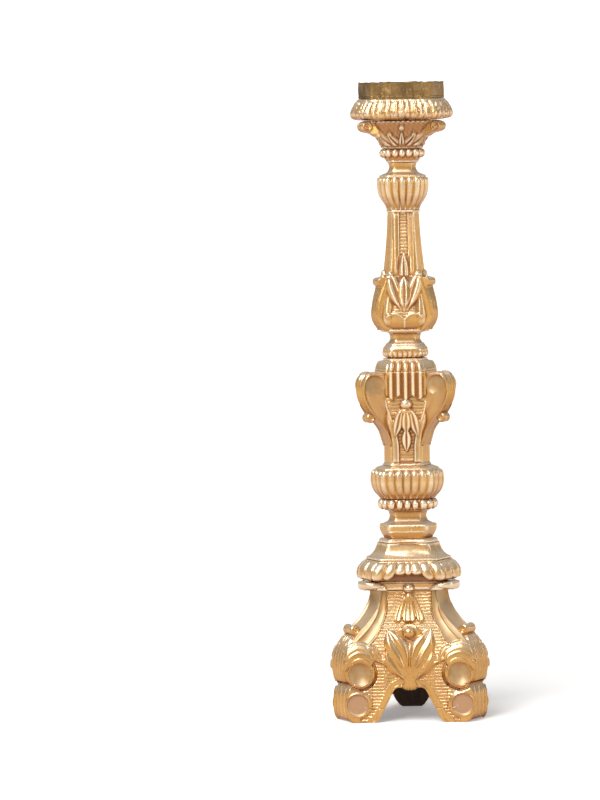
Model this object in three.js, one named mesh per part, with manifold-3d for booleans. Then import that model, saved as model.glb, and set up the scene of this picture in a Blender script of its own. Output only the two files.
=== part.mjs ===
// A three-sided carved and gilded wooden torchere candle stand, in millimetres with +Z up.
// It stands on three scrolled legs with carved boards between them. Above them a stem of carved
// sections, threaded on wooden dowels, carries a fringed drip pan with a brass tray nailed round it.
// The front board faces -Y, and the legs point to -30, 90 and 210 degrees. The origin is on the floor
// below the middle of the bounding box, so the stem's axis stands a little in front of it.
import * as THREE from "three";
import { mergeVertices } from "three/addons/utils/BufferGeometryUtils.js";
import Module from "manifold-3d";

const wasm = await Module();
wasm.setup();
const { lerp, mapLinear, degToRad } = THREE.MathUtils;

// ---- Driving dimensions ----
// A reach is measured from the stem's axis to a corner piece's outer face, and a height from the foot
// of the piece. A section's width is its greatest one, square to a board.
const GLUE = 0.3; // glue line between two pieces
const SIDES = 3;

// Legs
const LEG_HEIGHT = 187;
const LEG_REACH = 116.6; // out to the scrolls
const LEG_WIDTH = 32; // across the outer face
const LEG_TOP_REACH = 55;
const LEG_BODY_WIDTH = 74; // behind the boards
const SHOULDER_HEIGHT = 90; // the scrolls' upright face ends here
const KNEE_HEIGHT = 131; // the hollow sweep turns into the round shoulder here
const KNEE_DEPTH = 26.6; // the knee lies this far behind the scrolls
const NOTCH_HEIGHT = 56; // between a leg's upper and lower scroll
const NOTCH_DEPTH = 11;
const SOLE_LENGTH = 26;
const SOLE_INSET = 15;
const DISC_RADIUS = 17.5;
const DISC_RISE = 1.2; // the scroll discs stand proud of a leg's flank
const DISC_DEPTH = 3; // let into the flank
const DISC_FROM_EDGE = 19;
const UPPER_DISC_HEIGHT = 70;
const LOWER_DISC_HEIGHT = 27;
const LEG_CURL_RADIUS = 7.5;
const LEG_CURL_WIDTH = 26;

// Base core and boards
const CORE_PANEL = 24; // from the axis to the core's board faces
const CORE_CORNER = 34; // from the axis to the core's leg faces
const CORE_OVER_ARCH = 6; // from the top of the arch to the core's underside
const ARCH_HEIGHT = 49;
const ARCH_TOP_HALF = 13;
const ARCH_FOOT_EDGE = 9; // from the foot of the arch to a board's lower corner
const BOARD_FOOT = 20; // lowest edge of a board above the floor
const BOARD_FROM_DISC = 3.5; // between a board's side and the scroll discs beside it
const BOARD_LOW_HEIGHT = 106;
const BOARD_WAIST_HALF = 31;
const BOARD_WAIST_HEIGHT = 154;
const BOARD_TOP_HALF = 29;
const BOARD_THICKNESS = 13;
const BOARD_RECESS = 2.5; // the boards' faces lie behind the legs' flanks
const BERRY_RADIUS = 12.5;
const BERRY_RISE = 9;
const BERRY_HEIGHT = 128;

// Sections of the stem
const LEDGE_HEIGHT = 12;
const LEDGE_WIDTH = 144;
const CORNICE_HEIGHT = 29.7;
const CORNICE_WIDTH = 154;
const CORNICE_TOP_WIDTH = 134;
const CORNICE_LOBES = 24;
const CAP_HEIGHT = 30;
const CAP_WIDTH = 126;
const CAP_TOP_WIDTH = 81;
const BLOCK_HEIGHT = 20;
const BLOCK_WIDTH = 84;
const BLOCK_FOOT_WIDTH = 73;
const BLOCK_NECK_HEIGHT = 20;
const BLOCK_NECK_WIDTH = 54;
const BEAD_HEIGHT = 17;
const BEAD_WIDTH = 90;
const BEAD_COUNT = 21;
const BEAD_DEPTH = 2.6;
const LOWER_CUP_HEIGHT = 47;
const LOWER_CUP_WIDTH = 108;
const LOWER_CUP_LIP_WIDTH = 82;
const LOWER_GADROONS = 24;
const LOWER_SHAFT_HEIGHT = 136;
const LOWER_SHAFT_WIDTH = 67;
const LOWER_SHAFT_SHOULDER = 88;
const COLLAR_HEIGHT = 18;
const COLLAR_TOP_WIDTH = 66;
const COLLAR_LOBES = 12;
const KNOP_HEIGHT = 20;
const KNOP_WIDTH = 70;
const KNOP_LOBES = 18;
const KNOP_NECK_HEIGHT = 17;
const KNOP_NECK_WIDTH = 46;
const VASE_HEIGHT = 81;
const VASE_WIDTH = 90;
const VASE_END_WIDTH = 63;
const UPPER_SHAFT_HEIGHT = 93;
const UPPER_SHAFT_TOP_WIDTH = 47;
const UPPER_CUP_HEIGHT = 52;
const UPPER_CUP_WIDTH = 76;
const UPPER_CUP_LIP_WIDTH = 60;
const UPPER_GADROONS = 18;
const TOP_NECK_HEIGHT = 18;
const TOP_NECK_WIDTH = 41;
const TOP_COLLAR_HEIGHT = 17.5;
const TOP_COLLAR_WIDTH = 67;
const TOP_COLLAR_LOBES = 15;
const CAPITAL_HEIGHT = 39.5;
const CAPITAL_FOOT_WIDTH = 60;
const CAPITAL_TOP_WIDTH = 106;
const PAN_HEIGHT = 31;
const PAN_WIDTH = 150;
const PAN_TOP_WIDTH = 130;
const PAN_LAPPETS = 24;
const GADROON_DEPTH = 2.2;

// Scrolls let into the stem's corners
const EAR_WIDTH = 22;
const EAR_SEAT = 29; // from the axis to the bottom of its housing
const EAR_REACH = 76;
const EAR_FOOT = 54;
const EAR_CURL_RADIUS = 7;
const EAR_CURL_WIDTH = 17;
const EAR_CURL_REACH = 61;
const EAR_CURL_HEIGHT = 70;
const VASE_SCROLL_WIDTH = 16;
const VASE_SCROLL_SEAT = 28;
const VASE_SCROLL_REACH = 51.5;
const VASE_SCROLL_FOOT = 12;
const VASE_CURL_RADIUS = 5.5;
const VASE_CURL_REACH = 38;
const VASE_CURL_HEIGHT = 71;
const VOLUTE_WIDTH = 17;
const VOLUTE_SEAT = 34;
const VOLUTE_RADIUS = 8.5;
const VOLUTE_REACH = 66;

// Brass tray
const TRAY_WIDTH = 124;
const TRAY_WALL = 1.2;
const TRAY_HEIGHT = 24;
const TRAY_PLINTH = 10; // wood inside the band, under the plate
const PLATE_THICKNESS = 1;
const LAP_WIDTH = 33; // where the band's ends overlap
const LAP_THICKNESS = 0.8;
const NAIL_RADIUS = 1.1;
const NAIL_HEAD_RADIUS = 2.4;
const NAIL_HEAD_HEIGHT = 1.4;
const NAIL_LENGTH = 9;
const NAIL_HEIGHT = 5;
const NAIL_SPREAD = 30; // from the middle of a side

// Dowels
const DOWEL_RADIUS = 9;
const DOWEL_DEPTH = 16; // of the blind bores at a dowel's two ends
const DOWEL_END_GAP = 1;

// ---- Materials ----
const metalOf = (color, roughness, metalness) =>
  new THREE.MeshStandardMaterial({ color, roughness, metalness, flatShading: true });
const gilt = metalOf(0xcf9a4c, 0.34, 0.85);
const paleGilt = metalOf(0xd8b375, 0.28, 0.85);
const brass = metalOf(0x7d6236, 0.45, 0.9);
const bareWood = metalOf(0x8a6844, 0.85, 0);

// ---- Where things stand ----
const third = (2 * Math.PI) / SIDES;
const legAngles = { front_right: -Math.PI / 6, back: Math.PI / 2, front_left: (7 * Math.PI) / 6 };
const boardAngles = { front: 0, right: third, left: 2 * third };

// From the axis to the flank of a leg that has this reach, which is also where the boards lie.
const flankAt = (reach) => reach / 2 + (Math.sin(third) * LEG_WIDTH) / 2;
const axisY = (flankAt(LEG_REACH) + DISC_RISE - LEG_REACH) / 2;
const kneeReach = LEG_REACH - KNEE_DEPTH;

// From the middle of a board to the centres of the scroll discs beside it.
const discAcross = Math.sin(third) * LEG_REACH - LEG_WIDTH / 4 - DISC_FROM_EDGE;
const boardLowHalf = discAcross - DISC_RADIUS - BOARD_FROM_DISC;
const archFootHalf = boardLowHalf - ARCH_FOOT_EDGE;

const rise = [
  ["cornice_ledge", LEDGE_HEIGHT],
  ["cornice", CORNICE_HEIGHT],
  ["ogee_cap", CAP_HEIGHT],
  ["plinth_block", BLOCK_HEIGHT + BLOCK_NECK_HEIGHT],
  ["bead_ring", BEAD_HEIGHT],
  ["lower_cup", LOWER_CUP_HEIGHT],
  ["lower_shaft", LOWER_SHAFT_HEIGHT],
  ["lappet_collar", COLLAR_HEIGHT],
  ["knop", KNOP_HEIGHT + KNOP_NECK_HEIGHT],
  ["vase", VASE_HEIGHT],
  ["upper_shaft", UPPER_SHAFT_HEIGHT],
  ["upper_cup", UPPER_CUP_HEIGHT],
  ["top_collar", TOP_NECK_HEIGHT + TOP_COLLAR_HEIGHT],
  ["capital", CAPITAL_HEIGHT],
  ["drip_pan", PAN_HEIGHT],
  ["tray_band", TRAY_HEIGHT],
];
const footOf = {};
const topOf = { base_core: LEG_HEIGHT };
let stacked = LEG_HEIGHT;
for (const [name, height] of rise) {
  footOf[name] = stacked + GLUE;
  stacked = footOf[name] + height;
  topOf[name] = stacked;
}

// ---- Solids ----
// A three.js geometry as a manifold-3d solid.
function solidOf(geometry) {
  const bare = new THREE.BufferGeometry().setAttribute("position", geometry.getAttribute("position"));
  if (geometry.index) bare.setIndex(geometry.index);
  const merged = mergeVertices(bare, 1e-4);
  return new wasm.Manifold(
    new wasm.Mesh({
      numProp: 3,
      vertProperties: merged.attributes.position.array,
      triVerts: new Uint32Array(merged.index.array),
    }),
  );
}

// A manifold-3d solid as a three.js geometry.
function geometryOf(solid) {
  const mesh = solid.getMesh();
  return new THREE.BufferGeometry()
    .setAttribute("position", new THREE.BufferAttribute(new Float32Array(mesh.vertProperties), 3))
    .setIndex(new THREE.BufferAttribute(new Uint32Array(mesh.triVerts), 1));
}

const point = (x, y) => new THREE.Vector2(x, y);
const joined = (solid, geometries) => geometries.reduce((made, one) => made.add(solidOf(one)), solid);
const cut = (solid, geometries) => geometries.reduce((made, one) => made.subtract(solidOf(one)), solid);

// Copies of a geometry turned about the axis, one for each angle.
const turnedTo = (geometry, angles) => Object.values(angles).map((a) => geometry.clone().rotateZ(a));

// Shapes are drawn as distance and height. This stands one up along +X, with its depth across Y.
function standUp(shape, depth, curveSegments = 3) {
  const made = new THREE.ExtrudeGeometry(shape, { depth, bevelEnabled: false, curveSegments });
  return made.translate(0, 0, -depth / 2).rotateX(Math.PI / 2);
}

// A box whose corners are given as [from, to] on each axis.
function boxOf(x, y, z) {
  const made = new THREE.BoxGeometry(x[1] - x[0], y[1] - y[0], z[1] - z[0]);
  return made.translate((x[0] + x[1]) / 2, (y[0] + y[1]) / 2, (z[0] + z[1]) / 2);
}

// A small rolled curl lying across a corner, as a barrel with its axis along Y.
function curl(radius, width, reach, height) {
  const half = width / 2;
  const path = new THREE.Path([point(0, -half), point(radius * 0.6, -half)]);
  path.quadraticCurveTo(radius * 1.4, 0, radius * 0.6, half).lineTo(0, half);
  return new THREE.LatheGeometry(path.getPoints(3), 10).translate(reach, 0, height);
}

// ---- Three-sided sections ----
// The plan of a section as columns at equal steps round it, from the middle of its front side, for
// a greatest half width of 1. `corner` is a corner face's share of the width, and a higher `crisp`
// gives sharper arrises.
function planOf(corner, crisp, columns) {
  const faces = Array.from({ length: 2 * SIDES }, (_, i) => ({
    at: (i * third) / 2,
    far: (i % 2 ? 2 - corner : 1 + corner) / Math.sqrt(3),
  }));
  const pointAt = (angle) => {
    const sum = faces.reduce((s, f) => s + Math.max(0, Math.cos(angle - f.at) / f.far) ** crisp, 0);
    return new THREE.Vector2(Math.sin(angle), -Math.cos(angle)).multiplyScalar(sum ** (-1 / crisp));
  };
  const fine = Array.from({ length: 720 }, (_, i) => pointAt((i * Math.PI) / 360));
  const widest = Math.max(...fine.map((p) => p.x));
  const loop = new THREE.CurvePath();
  fine.forEach((p, i) => loop.add(new THREE.LineCurve(p, fine[(i + 1) % fine.length])));
  const spaced = Array.from({ length: columns }, (_, i) => loop.getPointAt(i / columns));
  return spaced.map((p) => p.divideScalar(widest));
}

const smoothPlan = planOf(0.34, 14, 24);
const trayPlan = planOf(0.3, 22, 36);
const lobedPlan = (lobes) => planOf(0.4, 8, 2 * lobes);

// A wall runs up the outside of a section, as [half width, height] from its foot.
const wallOf = (points) => points.map(([half, height]) => point(half, height));

// A carved section of the stem. Lobes are valleys cut in every second column between the wall's ends.
function section(wall, plan, lobeDepth = 0) {
  const last = wall.length - 1;
  const profile = [point(0, wall[0].y), ...wall, point(0, wall[last].y)];
  const geometry = new THREE.LatheGeometry(profile, plan.length);
  const position = geometry.getAttribute("position");
  for (let i = 0; i <= plan.length; i++) {
    const column = plan[i % plan.length];
    profile.forEach((p, j) => {
      const r = p.x - (i % 2 === 0 && j > 1 && j <= last ? lobeDepth : 0);
      position.setXYZ(i * profile.length + j, column.x * r, column.y * r, p.y);
    });
  }
  return geometry;
}

// A bore for a dowel, from one height to another.
function boreOf(low, high) {
  const made = new THREE.CylinderGeometry(DOWEL_RADIUS + GLUE, DOWEL_RADIUS + GLUE, high - low, 20);
  return made.rotateX(Math.PI / 2).translate(0, 0, (low + high) / 2);
}

const pierced = (geometry, height) => geometryOf(cut(solidOf(geometry), [boreOf(-1, height + 1)]));
const blindBores = (height) => [boreOf(-1, DOWEL_DEPTH), boreOf(height - DOWEL_DEPTH, height + 1)];

// From the axis to a section's front side at a height.
function faceOf(wall, plan) {
  return (height) => {
    const k = Math.max(1, wall.findIndex((p) => p.y >= height));
    const half = mapLinear(height, wall[k - 1].y, wall[k].y, wall[k - 1].x, wall[k].x);
    return half * plan[0].length();
  };
}

// A leaf on the front side, as a flattened ball that leans by degrees and follows the face's slope.
function leaf(face, { x = 0, height, length, width, lean = 0, thickness = 4 }) {
  const slope = Math.atan((face(height + 4) - face(height - 4)) / 8);
  const made = new THREE.SphereGeometry(1, 6, 3).rotateX(Math.PI / 2);
  made.scale(width / 2, thickness, length / 2).rotateY(degToRad(lean)).rotateX(slope);
  return made.translate(x, -face(height), height);
}

// ---- Base ----
// A leg's hollow sweep from its shoulder to its top, with each reach as `at` maps it.
function addSweep(path, at) {
  const shoulder = lerp(SHOULDER_HEIGHT, KNEE_HEIGHT, 0.64);
  const hollow = lerp(KNEE_HEIGHT, LEG_HEIGHT, 0.34);
  path.lineTo(at(LEG_REACH), SHOULDER_HEIGHT);
  path.quadraticCurveTo(at(lerp(LEG_REACH, kneeReach, 0.14)), shoulder, at(kneeReach), KNEE_HEIGHT);
  const waist = at(lerp(LEG_TOP_REACH, kneeReach, 0.14));
  return path.quadraticCurveTo(waist, hollow, at(LEG_TOP_REACH), LEG_HEIGHT);
}

// The line of the legs' flanks in side view, moved in by `inset`, from below the floor to above the legs.
function flankLine(inset) {
  const at = (reach) => flankAt(reach) - inset;
  const path = addSweep(new THREE.Path([point(at(LEG_REACH), -1)]), at);
  return path.lineTo(at(LEG_TOP_REACH), LEG_HEIGHT + 1).getPoints(3);
}

// From the axis to the boards' faces at a height.
function boardFace(height) {
  const line = flankLine(BOARD_RECESS);
  const k = Math.max(1, line.findIndex((p) => p.y >= height));
  return mapLinear(height, line[k - 1].y, line[k].y, line[k - 1].x, line[k].x);
}

// Everything behind the flank of a leg, for a leg along +X and its flank turned to `angle`.
function behindFlank(angle) {
  const inside = [point(-LEG_REACH, LEG_HEIGHT + 1), point(-LEG_REACH, -1)];
  return solidOf(standUp(new THREE.Shape([...flankLine(0), ...inside]), 4 * LEG_REACH).rotateZ(angle));
}

// A board's outline seen from the front and wider by `spread`, from the axis forward.
function boardOutline(spread) {
  const half = new THREE.Path([point(0, ARCH_HEIGHT - spread)]);
  half.lineTo(ARCH_TOP_HALF, ARCH_HEIGHT - spread);
  half.quadraticCurveTo(archFootHalf - 6, ARCH_HEIGHT - 4, archFootHalf, BOARD_FOOT - spread);
  half.lineTo(boardLowHalf + spread, BOARD_FOOT - spread);
  half.lineTo(boardLowHalf + spread, BOARD_LOW_HEIGHT);
  const bend = lerp(BOARD_LOW_HEIGHT, BOARD_WAIST_HEIGHT, 0.6);
  half.quadraticCurveTo(BOARD_WAIST_HALF + spread, bend, BOARD_WAIST_HALF + spread, BOARD_WAIST_HEIGHT);
  half.lineTo(BOARD_TOP_HALF + spread, LEG_HEIGHT + spread);
  const right = half.getPoints(4);
  const left = right.slice(1).reverse().map((p) => point(-p.x, p.y));
  const shape = new THREE.Shape([...right, ...left]);
  const made = new THREE.ExtrudeGeometry(shape, { depth: 2 * LEG_REACH, bevelEnabled: false });
  return solidOf(made.rotateX(Math.PI / 2));
}

// A slab that follows the flanks' line, from `inset` to `back` behind it, on the front side.
function boardSlab(inset, back) {
  const shape = new THREE.Shape([...flankLine(inset), ...flankLine(back).reverse()]);
  return solidOf(standUp(shape, 2 * LEG_REACH).rotateZ(-Math.PI / 2));
}

// The berry at the middle of the front board, larger all round by `spread`.
function berry(spread) {
  const radius = BERRY_RADIUS + spread;
  const made = new THREE.SphereGeometry(1, 10, 6).scale(radius, BERRY_RISE + spread, radius);
  return made.translate(0, -boardFace(BERRY_HEIGHT), BERRY_HEIGHT);
}

// The front board: a bellflower under the cornice, and an acanthus spray that rises from the arch.
function board() {
  const leaves = [
    { height: BERRY_HEIGHT + 27, length: 30, width: 12 },
    { height: BERRY_HEIGHT - 44, length: 62, width: 10 },
  ];
  for (const side of [-1, 1]) {
    leaves.push({ x: side * 11, height: BERRY_HEIGHT + 29, length: 26, width: 11, lean: -side * 24 });
    leaves.push({ x: side * 25, height: BERRY_HEIGHT - 38, length: 50, width: 16, lean: side * 50 });
  }
  const foliage = leaves.map((one) => leaf(boardFace, one));
  const slab = boardSlab(BOARD_RECESS, BOARD_RECESS + BOARD_THICKNESS);
  return geometryOf(cut(joined(slab, foliage).intersect(boardOutline(0)), [berry(GLUE)]));
}

// A leg's side view. Its underside arches up to the core, and its outer face has two scrolls.
function legShape() {
  const inside = CORE_CORNER + GLUE;
  const sole = LEG_REACH - SOLE_INSET;
  const shape = new THREE.Shape([point(inside, LEG_HEIGHT), point(inside, ARCH_HEIGHT + CORE_OVER_ARCH)]);
  shape.quadraticCurveTo(inside + 30, ARCH_HEIGHT, sole - SOLE_LENGTH, 0);
  shape.lineTo(sole, 0);
  shape.quadraticCurveTo(LEG_REACH, 0, LEG_REACH, LOWER_DISC_HEIGHT);
  shape.quadraticCurveTo(LEG_REACH, NOTCH_HEIGHT - 4, LEG_REACH - NOTCH_DEPTH, NOTCH_HEIGHT - 1);
  shape.lineTo(LEG_REACH - NOTCH_DEPTH, NOTCH_HEIGHT + 1);
  shape.quadraticCurveTo(LEG_REACH, NOTCH_HEIGHT + 3, LEG_REACH, UPPER_DISC_HEIGHT);
  return addSweep(shape, (reach) => reach);
}

// The scroll discs on the flank of the leg to the right of the front board.
function discs() {
  const away = flankAt(LEG_REACH) + (DISC_RISE - DISC_DEPTH) / 2;
  return [UPPER_DISC_HEIGHT, LOWER_DISC_HEIGHT].map((height) => {
    const made = new THREE.CylinderGeometry(DISC_RADIUS, DISC_RADIUS, DISC_RISE + DISC_DEPTH, 12);
    return made.translate(discAcross, -away, height);
  });
}

// The knee's curl, larger all round by `spread`, for a leg along +X.
function legCurl(spread) {
  const reach = kneeReach + LEG_CURL_RADIUS / 2;
  return curl(LEG_CURL_RADIUS + spread, LEG_CURL_WIDTH + 2 * spread, reach, KNEE_HEIGHT + 1);
}

// A leg along +X, rebated for the two boards that meet it.
function leg() {
  const flanks = [-Math.PI / 3, Math.PI / 3];
  const slab = solidOf(standUp(legShape(), LEG_BODY_WIDTH));
  const back = BOARD_RECESS + BOARD_THICKNESS + GLUE;
  const rebate = boardSlab(-DISC_DEPTH, back).intersect(boardOutline(GLUE));
  const rebates = flanks.map((angle) => geometryOf(rebate).rotateZ(angle + Math.PI / 2));
  const body = cut(slab.intersect(behindFlank(flanks[0])).intersect(behindFlank(flanks[1])), rebates);
  const right = discs().map((one) => one.rotateZ(Math.PI / 6));
  const left = right.map((one) => geometryOf(solidOf(one).mirror([0, 1, 0])));
  return geometryOf(cut(joined(body, [...right, ...left]), [legCurl(GLUE)]));
}

// The block in the middle of the base, with a bore for the lowest dowel.
function core() {
  const tall = LEG_HEIGHT - ARCH_HEIGHT - CORE_OVER_ARCH;
  const arris = (CORE_CORNER - CORE_PANEL / 2) / Math.sin(third);
  const side = [point(-arris, -CORE_PANEL), point(arris, -CORE_PANEL)];
  const turn = (angle) => side.map((p) => p.clone().rotateAround(point(0, 0), angle));
  const corners = Object.values(boardAngles).flatMap(turn);
  const block = new THREE.ExtrudeGeometry(new THREE.Shape(corners), { depth: tall, bevelEnabled: false });
  const bore = boreOf(LEG_HEIGHT - DOWEL_DEPTH, LEG_HEIGHT + 1);
  return geometryOf(cut(solidOf(block.translate(0, 0, LEG_HEIGHT - tall)), [bore]));
}

// ---- Stem, each section from its own foot upward ----
function ledge() {
  const half = LEDGE_WIDTH / 2;
  const wall = wallOf([[half - 10, 0], [half, 4], [half, 9], [half - 4, LEDGE_HEIGHT]]);
  return pierced(section(wall, smoothPlan), LEDGE_HEIGHT);
}

function cornice() {
  const half = CORNICE_WIDTH / 2;
  const top = CORNICE_TOP_WIDTH / 2;
  const crown = [[top + 5, CORNICE_HEIGHT * 0.62], [top, CORNICE_HEIGHT - 3], [top - 5, CORNICE_HEIGHT]];
  const wall = wallOf([[half - 6, 0], [half, 5], [half - 1, 11], ...crown]);
  return pierced(section(wall, lobedPlan(CORNICE_LOBES), GADROON_DEPTH), CORNICE_HEIGHT);
}

function ogeeCap() {
  const half = CAP_WIDTH / 2;
  const top = CAP_TOP_WIDTH / 2;
  const swept = [[half - 8, 9], [top + 8, CAP_HEIGHT * 0.5], [top + 1, CAP_HEIGHT * 0.75]];
  const wall = wallOf([[half, 0], [half, 3], [half - 5, 4], ...swept, [top, CAP_HEIGHT]]);
  return pierced(section(wall, smoothPlan), CAP_HEIGHT);
}

function plinthBlock() {
  const half = BLOCK_WIDTH / 2;
  const neck = BLOCK_NECK_WIDTH / 2;
  const waist = BLOCK_HEIGHT + BLOCK_NECK_HEIGHT * 0.5;
  const tall = BLOCK_HEIGHT + BLOCK_NECK_HEIGHT;
  const block = [[BLOCK_FOOT_WIDTH / 2, 0], [half, 10], [half, BLOCK_HEIGHT - 1], [neck + 6, BLOCK_HEIGHT]];
  const wall = wallOf([...block, [neck, waist - 3], [neck, waist + 3], [neck + 5, tall]]);
  return geometryOf(cut(solidOf(section(wall, smoothPlan)), blindBores(tall)));
}

function beadRing() {
  const half = BEAD_WIDTH / 2;
  const round = [[half, BEAD_HEIGHT * 0.35], [half, BEAD_HEIGHT * 0.65]];
  const wall = wallOf([[half - 7, 0], ...round, [half - 7, BEAD_HEIGHT]]);
  return pierced(section(wall, lobedPlan(BEAD_COUNT), BEAD_DEPTH), BEAD_HEIGHT);
}

// A gadrooned cup that swells from its foot to a rounded lip.
function cup(height, width, lipWidth, footWidth, gadroons) {
  const half = width / 2;
  const low = lerp(footWidth / 2, half, 0.6);
  const bowl = [[low, height * 0.14], [half, height * 0.45], [half, height * 0.78]];
  const wall = wallOf([[footWidth / 2, 0], ...bowl, [half - 5, height * 0.94], [lipWidth / 2, height]]);
  return pierced(section(wall, lobedPlan(gadroons), GADROON_DEPTH), height);
}

function lowerCup() {
  return cup(LOWER_CUP_HEIGHT, LOWER_CUP_WIDTH, LOWER_CUP_LIP_WIDTH, BEAD_WIDTH - 8, LOWER_GADROONS);
}

function upperCup() {
  return cup(UPPER_CUP_HEIGHT, UPPER_CUP_WIDTH, UPPER_CUP_LIP_WIDTH, UPPER_SHAFT_TOP_WIDTH, UPPER_GADROONS);
}

// An ear scroll's side view, from the foot of the lower shaft.
function earShape() {
  const shape = new THREE.Shape([point(EAR_SEAT, EAR_FOOT), point(EAR_SEAT + 11, EAR_FOOT)]);
  shape.quadraticCurveTo(EAR_REACH - 30, EAR_FOOT + 12, EAR_REACH - 14, EAR_FOOT + 22);
  shape.quadraticCurveTo(EAR_REACH, EAR_FOOT + 34, EAR_REACH, EAR_FOOT + 54);
  shape.quadraticCurveTo(EAR_REACH, LOWER_SHAFT_HEIGHT - 2, EAR_REACH - 16, LOWER_SHAFT_HEIGHT);
  return shape.lineTo(EAR_SEAT, LOWER_SHAFT_HEIGHT);
}

const earCurl = (spread) =>
  curl(EAR_CURL_RADIUS + spread, EAR_CURL_WIDTH + 2 * spread, EAR_CURL_REACH, EAR_CURL_HEIGHT);

function ear() {
  return geometryOf(cut(solidOf(standUp(earShape(), EAR_WIDTH)), [earCurl(GLUE)]));
}

// A housing in a section's corner for a scroll of this width, `foot` above the section's own foot.
function housing(seat, width, foot, top) {
  return boxOf([seat - GLUE, LEG_REACH], [-width / 2 - GLUE, width / 2 + GLUE], [foot - GLUE, top]);
}

// The lower shaft, with lappets and a hanging bellflower on each side between the ears.
function lowerShaft() {
  const half = LOWER_SHAFT_WIDTH / 2;
  const shoulder = LOWER_SHAFT_SHOULDER / 2;
  const tall = LOWER_SHAFT_HEIGHT;
  const flare = [[half + 1, 52], [half + 5, 70], [shoulder, 100], [shoulder, tall - 8]];
  const wall = wallOf([[half, 0], ...flare, [shoulder - 4, tall]]);
  const face = faceOf(wall, smoothPlan);
  const leaves = [
    { height: tall - 24, length: 44, width: 30 },
    { height: tall - 76, length: 36, width: 14 },
  ];
  for (const side of [-1, 1]) {
    leaves.push({ x: side * 9, height: tall - 68, length: 26, width: 10, lean: -side * 26 });
  }
  const carved = leaves.flatMap((one) => turnedTo(leaf(face, one), boardAngles));
  const ears = turnedTo(housing(EAR_SEAT, EAR_WIDTH, EAR_FOOT, tall + 1), legAngles);
  const keep = solidOf(boxOf([-LEG_REACH, LEG_REACH], [-LEG_REACH, LEG_REACH], [0, tall]));
  const body = joined(solidOf(section(wall, smoothPlan)), carved).intersect(keep);
  return geometryOf(cut(body, [...ears, ...blindBores(tall)]));
}

function lappetCollar() {
  const half = LOWER_SHAFT_SHOULDER / 2;
  const top = COLLAR_TOP_WIDTH / 2;
  const slope = [[half - 2, COLLAR_HEIGHT * 0.5], [top + 3, COLLAR_HEIGHT - 3]];
  const wall = wallOf([[half, 0], ...slope, [top, COLLAR_HEIGHT]]);
  return pierced(section(wall, lobedPlan(COLLAR_LOBES), GADROON_DEPTH / 2), COLLAR_HEIGHT);
}

function knop() {
  const half = KNOP_WIDTH / 2;
  const neck = KNOP_NECK_WIDTH / 2;
  const waist = KNOP_HEIGHT + KNOP_NECK_HEIGHT * 0.6;
  const swell = [[half - 5, 0], [half, 6], [half, KNOP_HEIGHT - 6], [neck + 7, KNOP_HEIGHT]];
  const tall = KNOP_HEIGHT + KNOP_NECK_HEIGHT;
  const wall = wallOf([...swell, [neck, waist], [neck + 3, tall]]);
  return pierced(section(wall, lobedPlan(KNOP_LOBES), GADROON_DEPTH), tall);
}

// A vase scroll's side view, from the foot of the vase: it swells, then rolls over at its top.
function vaseScrollShape() {
  const foot = VASE_SCROLL_FOOT;
  const neck = VASE_CURL_HEIGHT - VASE_CURL_RADIUS;
  const shape = new THREE.Shape([point(VASE_SCROLL_SEAT, foot), point(VASE_SCROLL_REACH - 7.5, foot)]);
  shape.quadraticCurveTo(VASE_SCROLL_REACH, foot + 4, VASE_SCROLL_REACH, foot + 18);
  shape.quadraticCurveTo(VASE_SCROLL_REACH, foot + 36, VASE_CURL_REACH + 4, neck);
  shape.absarc(VASE_CURL_REACH, VASE_CURL_HEIGHT, VASE_CURL_RADIUS, -0.6, Math.PI * 0.9, false);
  return shape.lineTo(VASE_SCROLL_SEAT, VASE_CURL_HEIGHT);
}

// The vase, with a three-leaved tulip on each side between the scrolls.
function vase() {
  const end = VASE_END_WIDTH / 2;
  const half = VASE_WIDTH / 2;
  const belly = [[end + 6, 4], [half - 1, 14], [half, 24], [half - 4, 42], [end + 3, 64]];
  const wall = wallOf([[end, 0], ...belly, [end, VASE_HEIGHT]]);
  const face = faceOf(wall, smoothPlan);
  const leaves = [{ height: VASE_HEIGHT - 24, length: 44, width: 12 }];
  for (const side of [-1, 1]) {
    leaves.push({ x: side * 11, height: VASE_HEIGHT - 32, length: 34, width: 11, lean: side * 22 });
  }
  const carved = leaves.flatMap((one) => turnedTo(leaf(face, one), boardAngles));
  const slot = housing(VASE_SCROLL_SEAT, VASE_SCROLL_WIDTH, VASE_SCROLL_FOOT, VASE_HEIGHT + 1);
  const body = joined(solidOf(section(wall, smoothPlan)), carved);
  return geometryOf(cut(body, [...turnedTo(slot, legAngles), ...blindBores(VASE_HEIGHT)]));
}

function upperShaft() {
  const foot = VASE_END_WIDTH / 2;
  const top = UPPER_SHAFT_TOP_WIDTH / 2;
  const taper = [[foot - 1, 6], [top + 4, UPPER_SHAFT_HEIGHT * 0.45], [top, UPPER_SHAFT_HEIGHT - 8]];
  const wall = wallOf([[foot, 0], ...taper, [top, UPPER_SHAFT_HEIGHT]]);
  return geometryOf(cut(solidOf(section(wall, smoothPlan)), blindBores(UPPER_SHAFT_HEIGHT)));
}

function topCollar() {
  const neck = TOP_NECK_WIDTH / 2;
  const half = TOP_COLLAR_WIDTH / 2;
  const tall = TOP_NECK_HEIGHT + TOP_COLLAR_HEIGHT;
  const collar = [[half - 4, TOP_NECK_HEIGHT], [half, tall - 11], [half, tall - 5], [half - 6, tall]];
  const wall = wallOf([[neck + 4, 0], [neck, 6], [neck, 12], ...collar]);
  return pierced(section(wall, lobedPlan(TOP_COLLAR_LOBES), GADROON_DEPTH / 2), tall);
}

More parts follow.
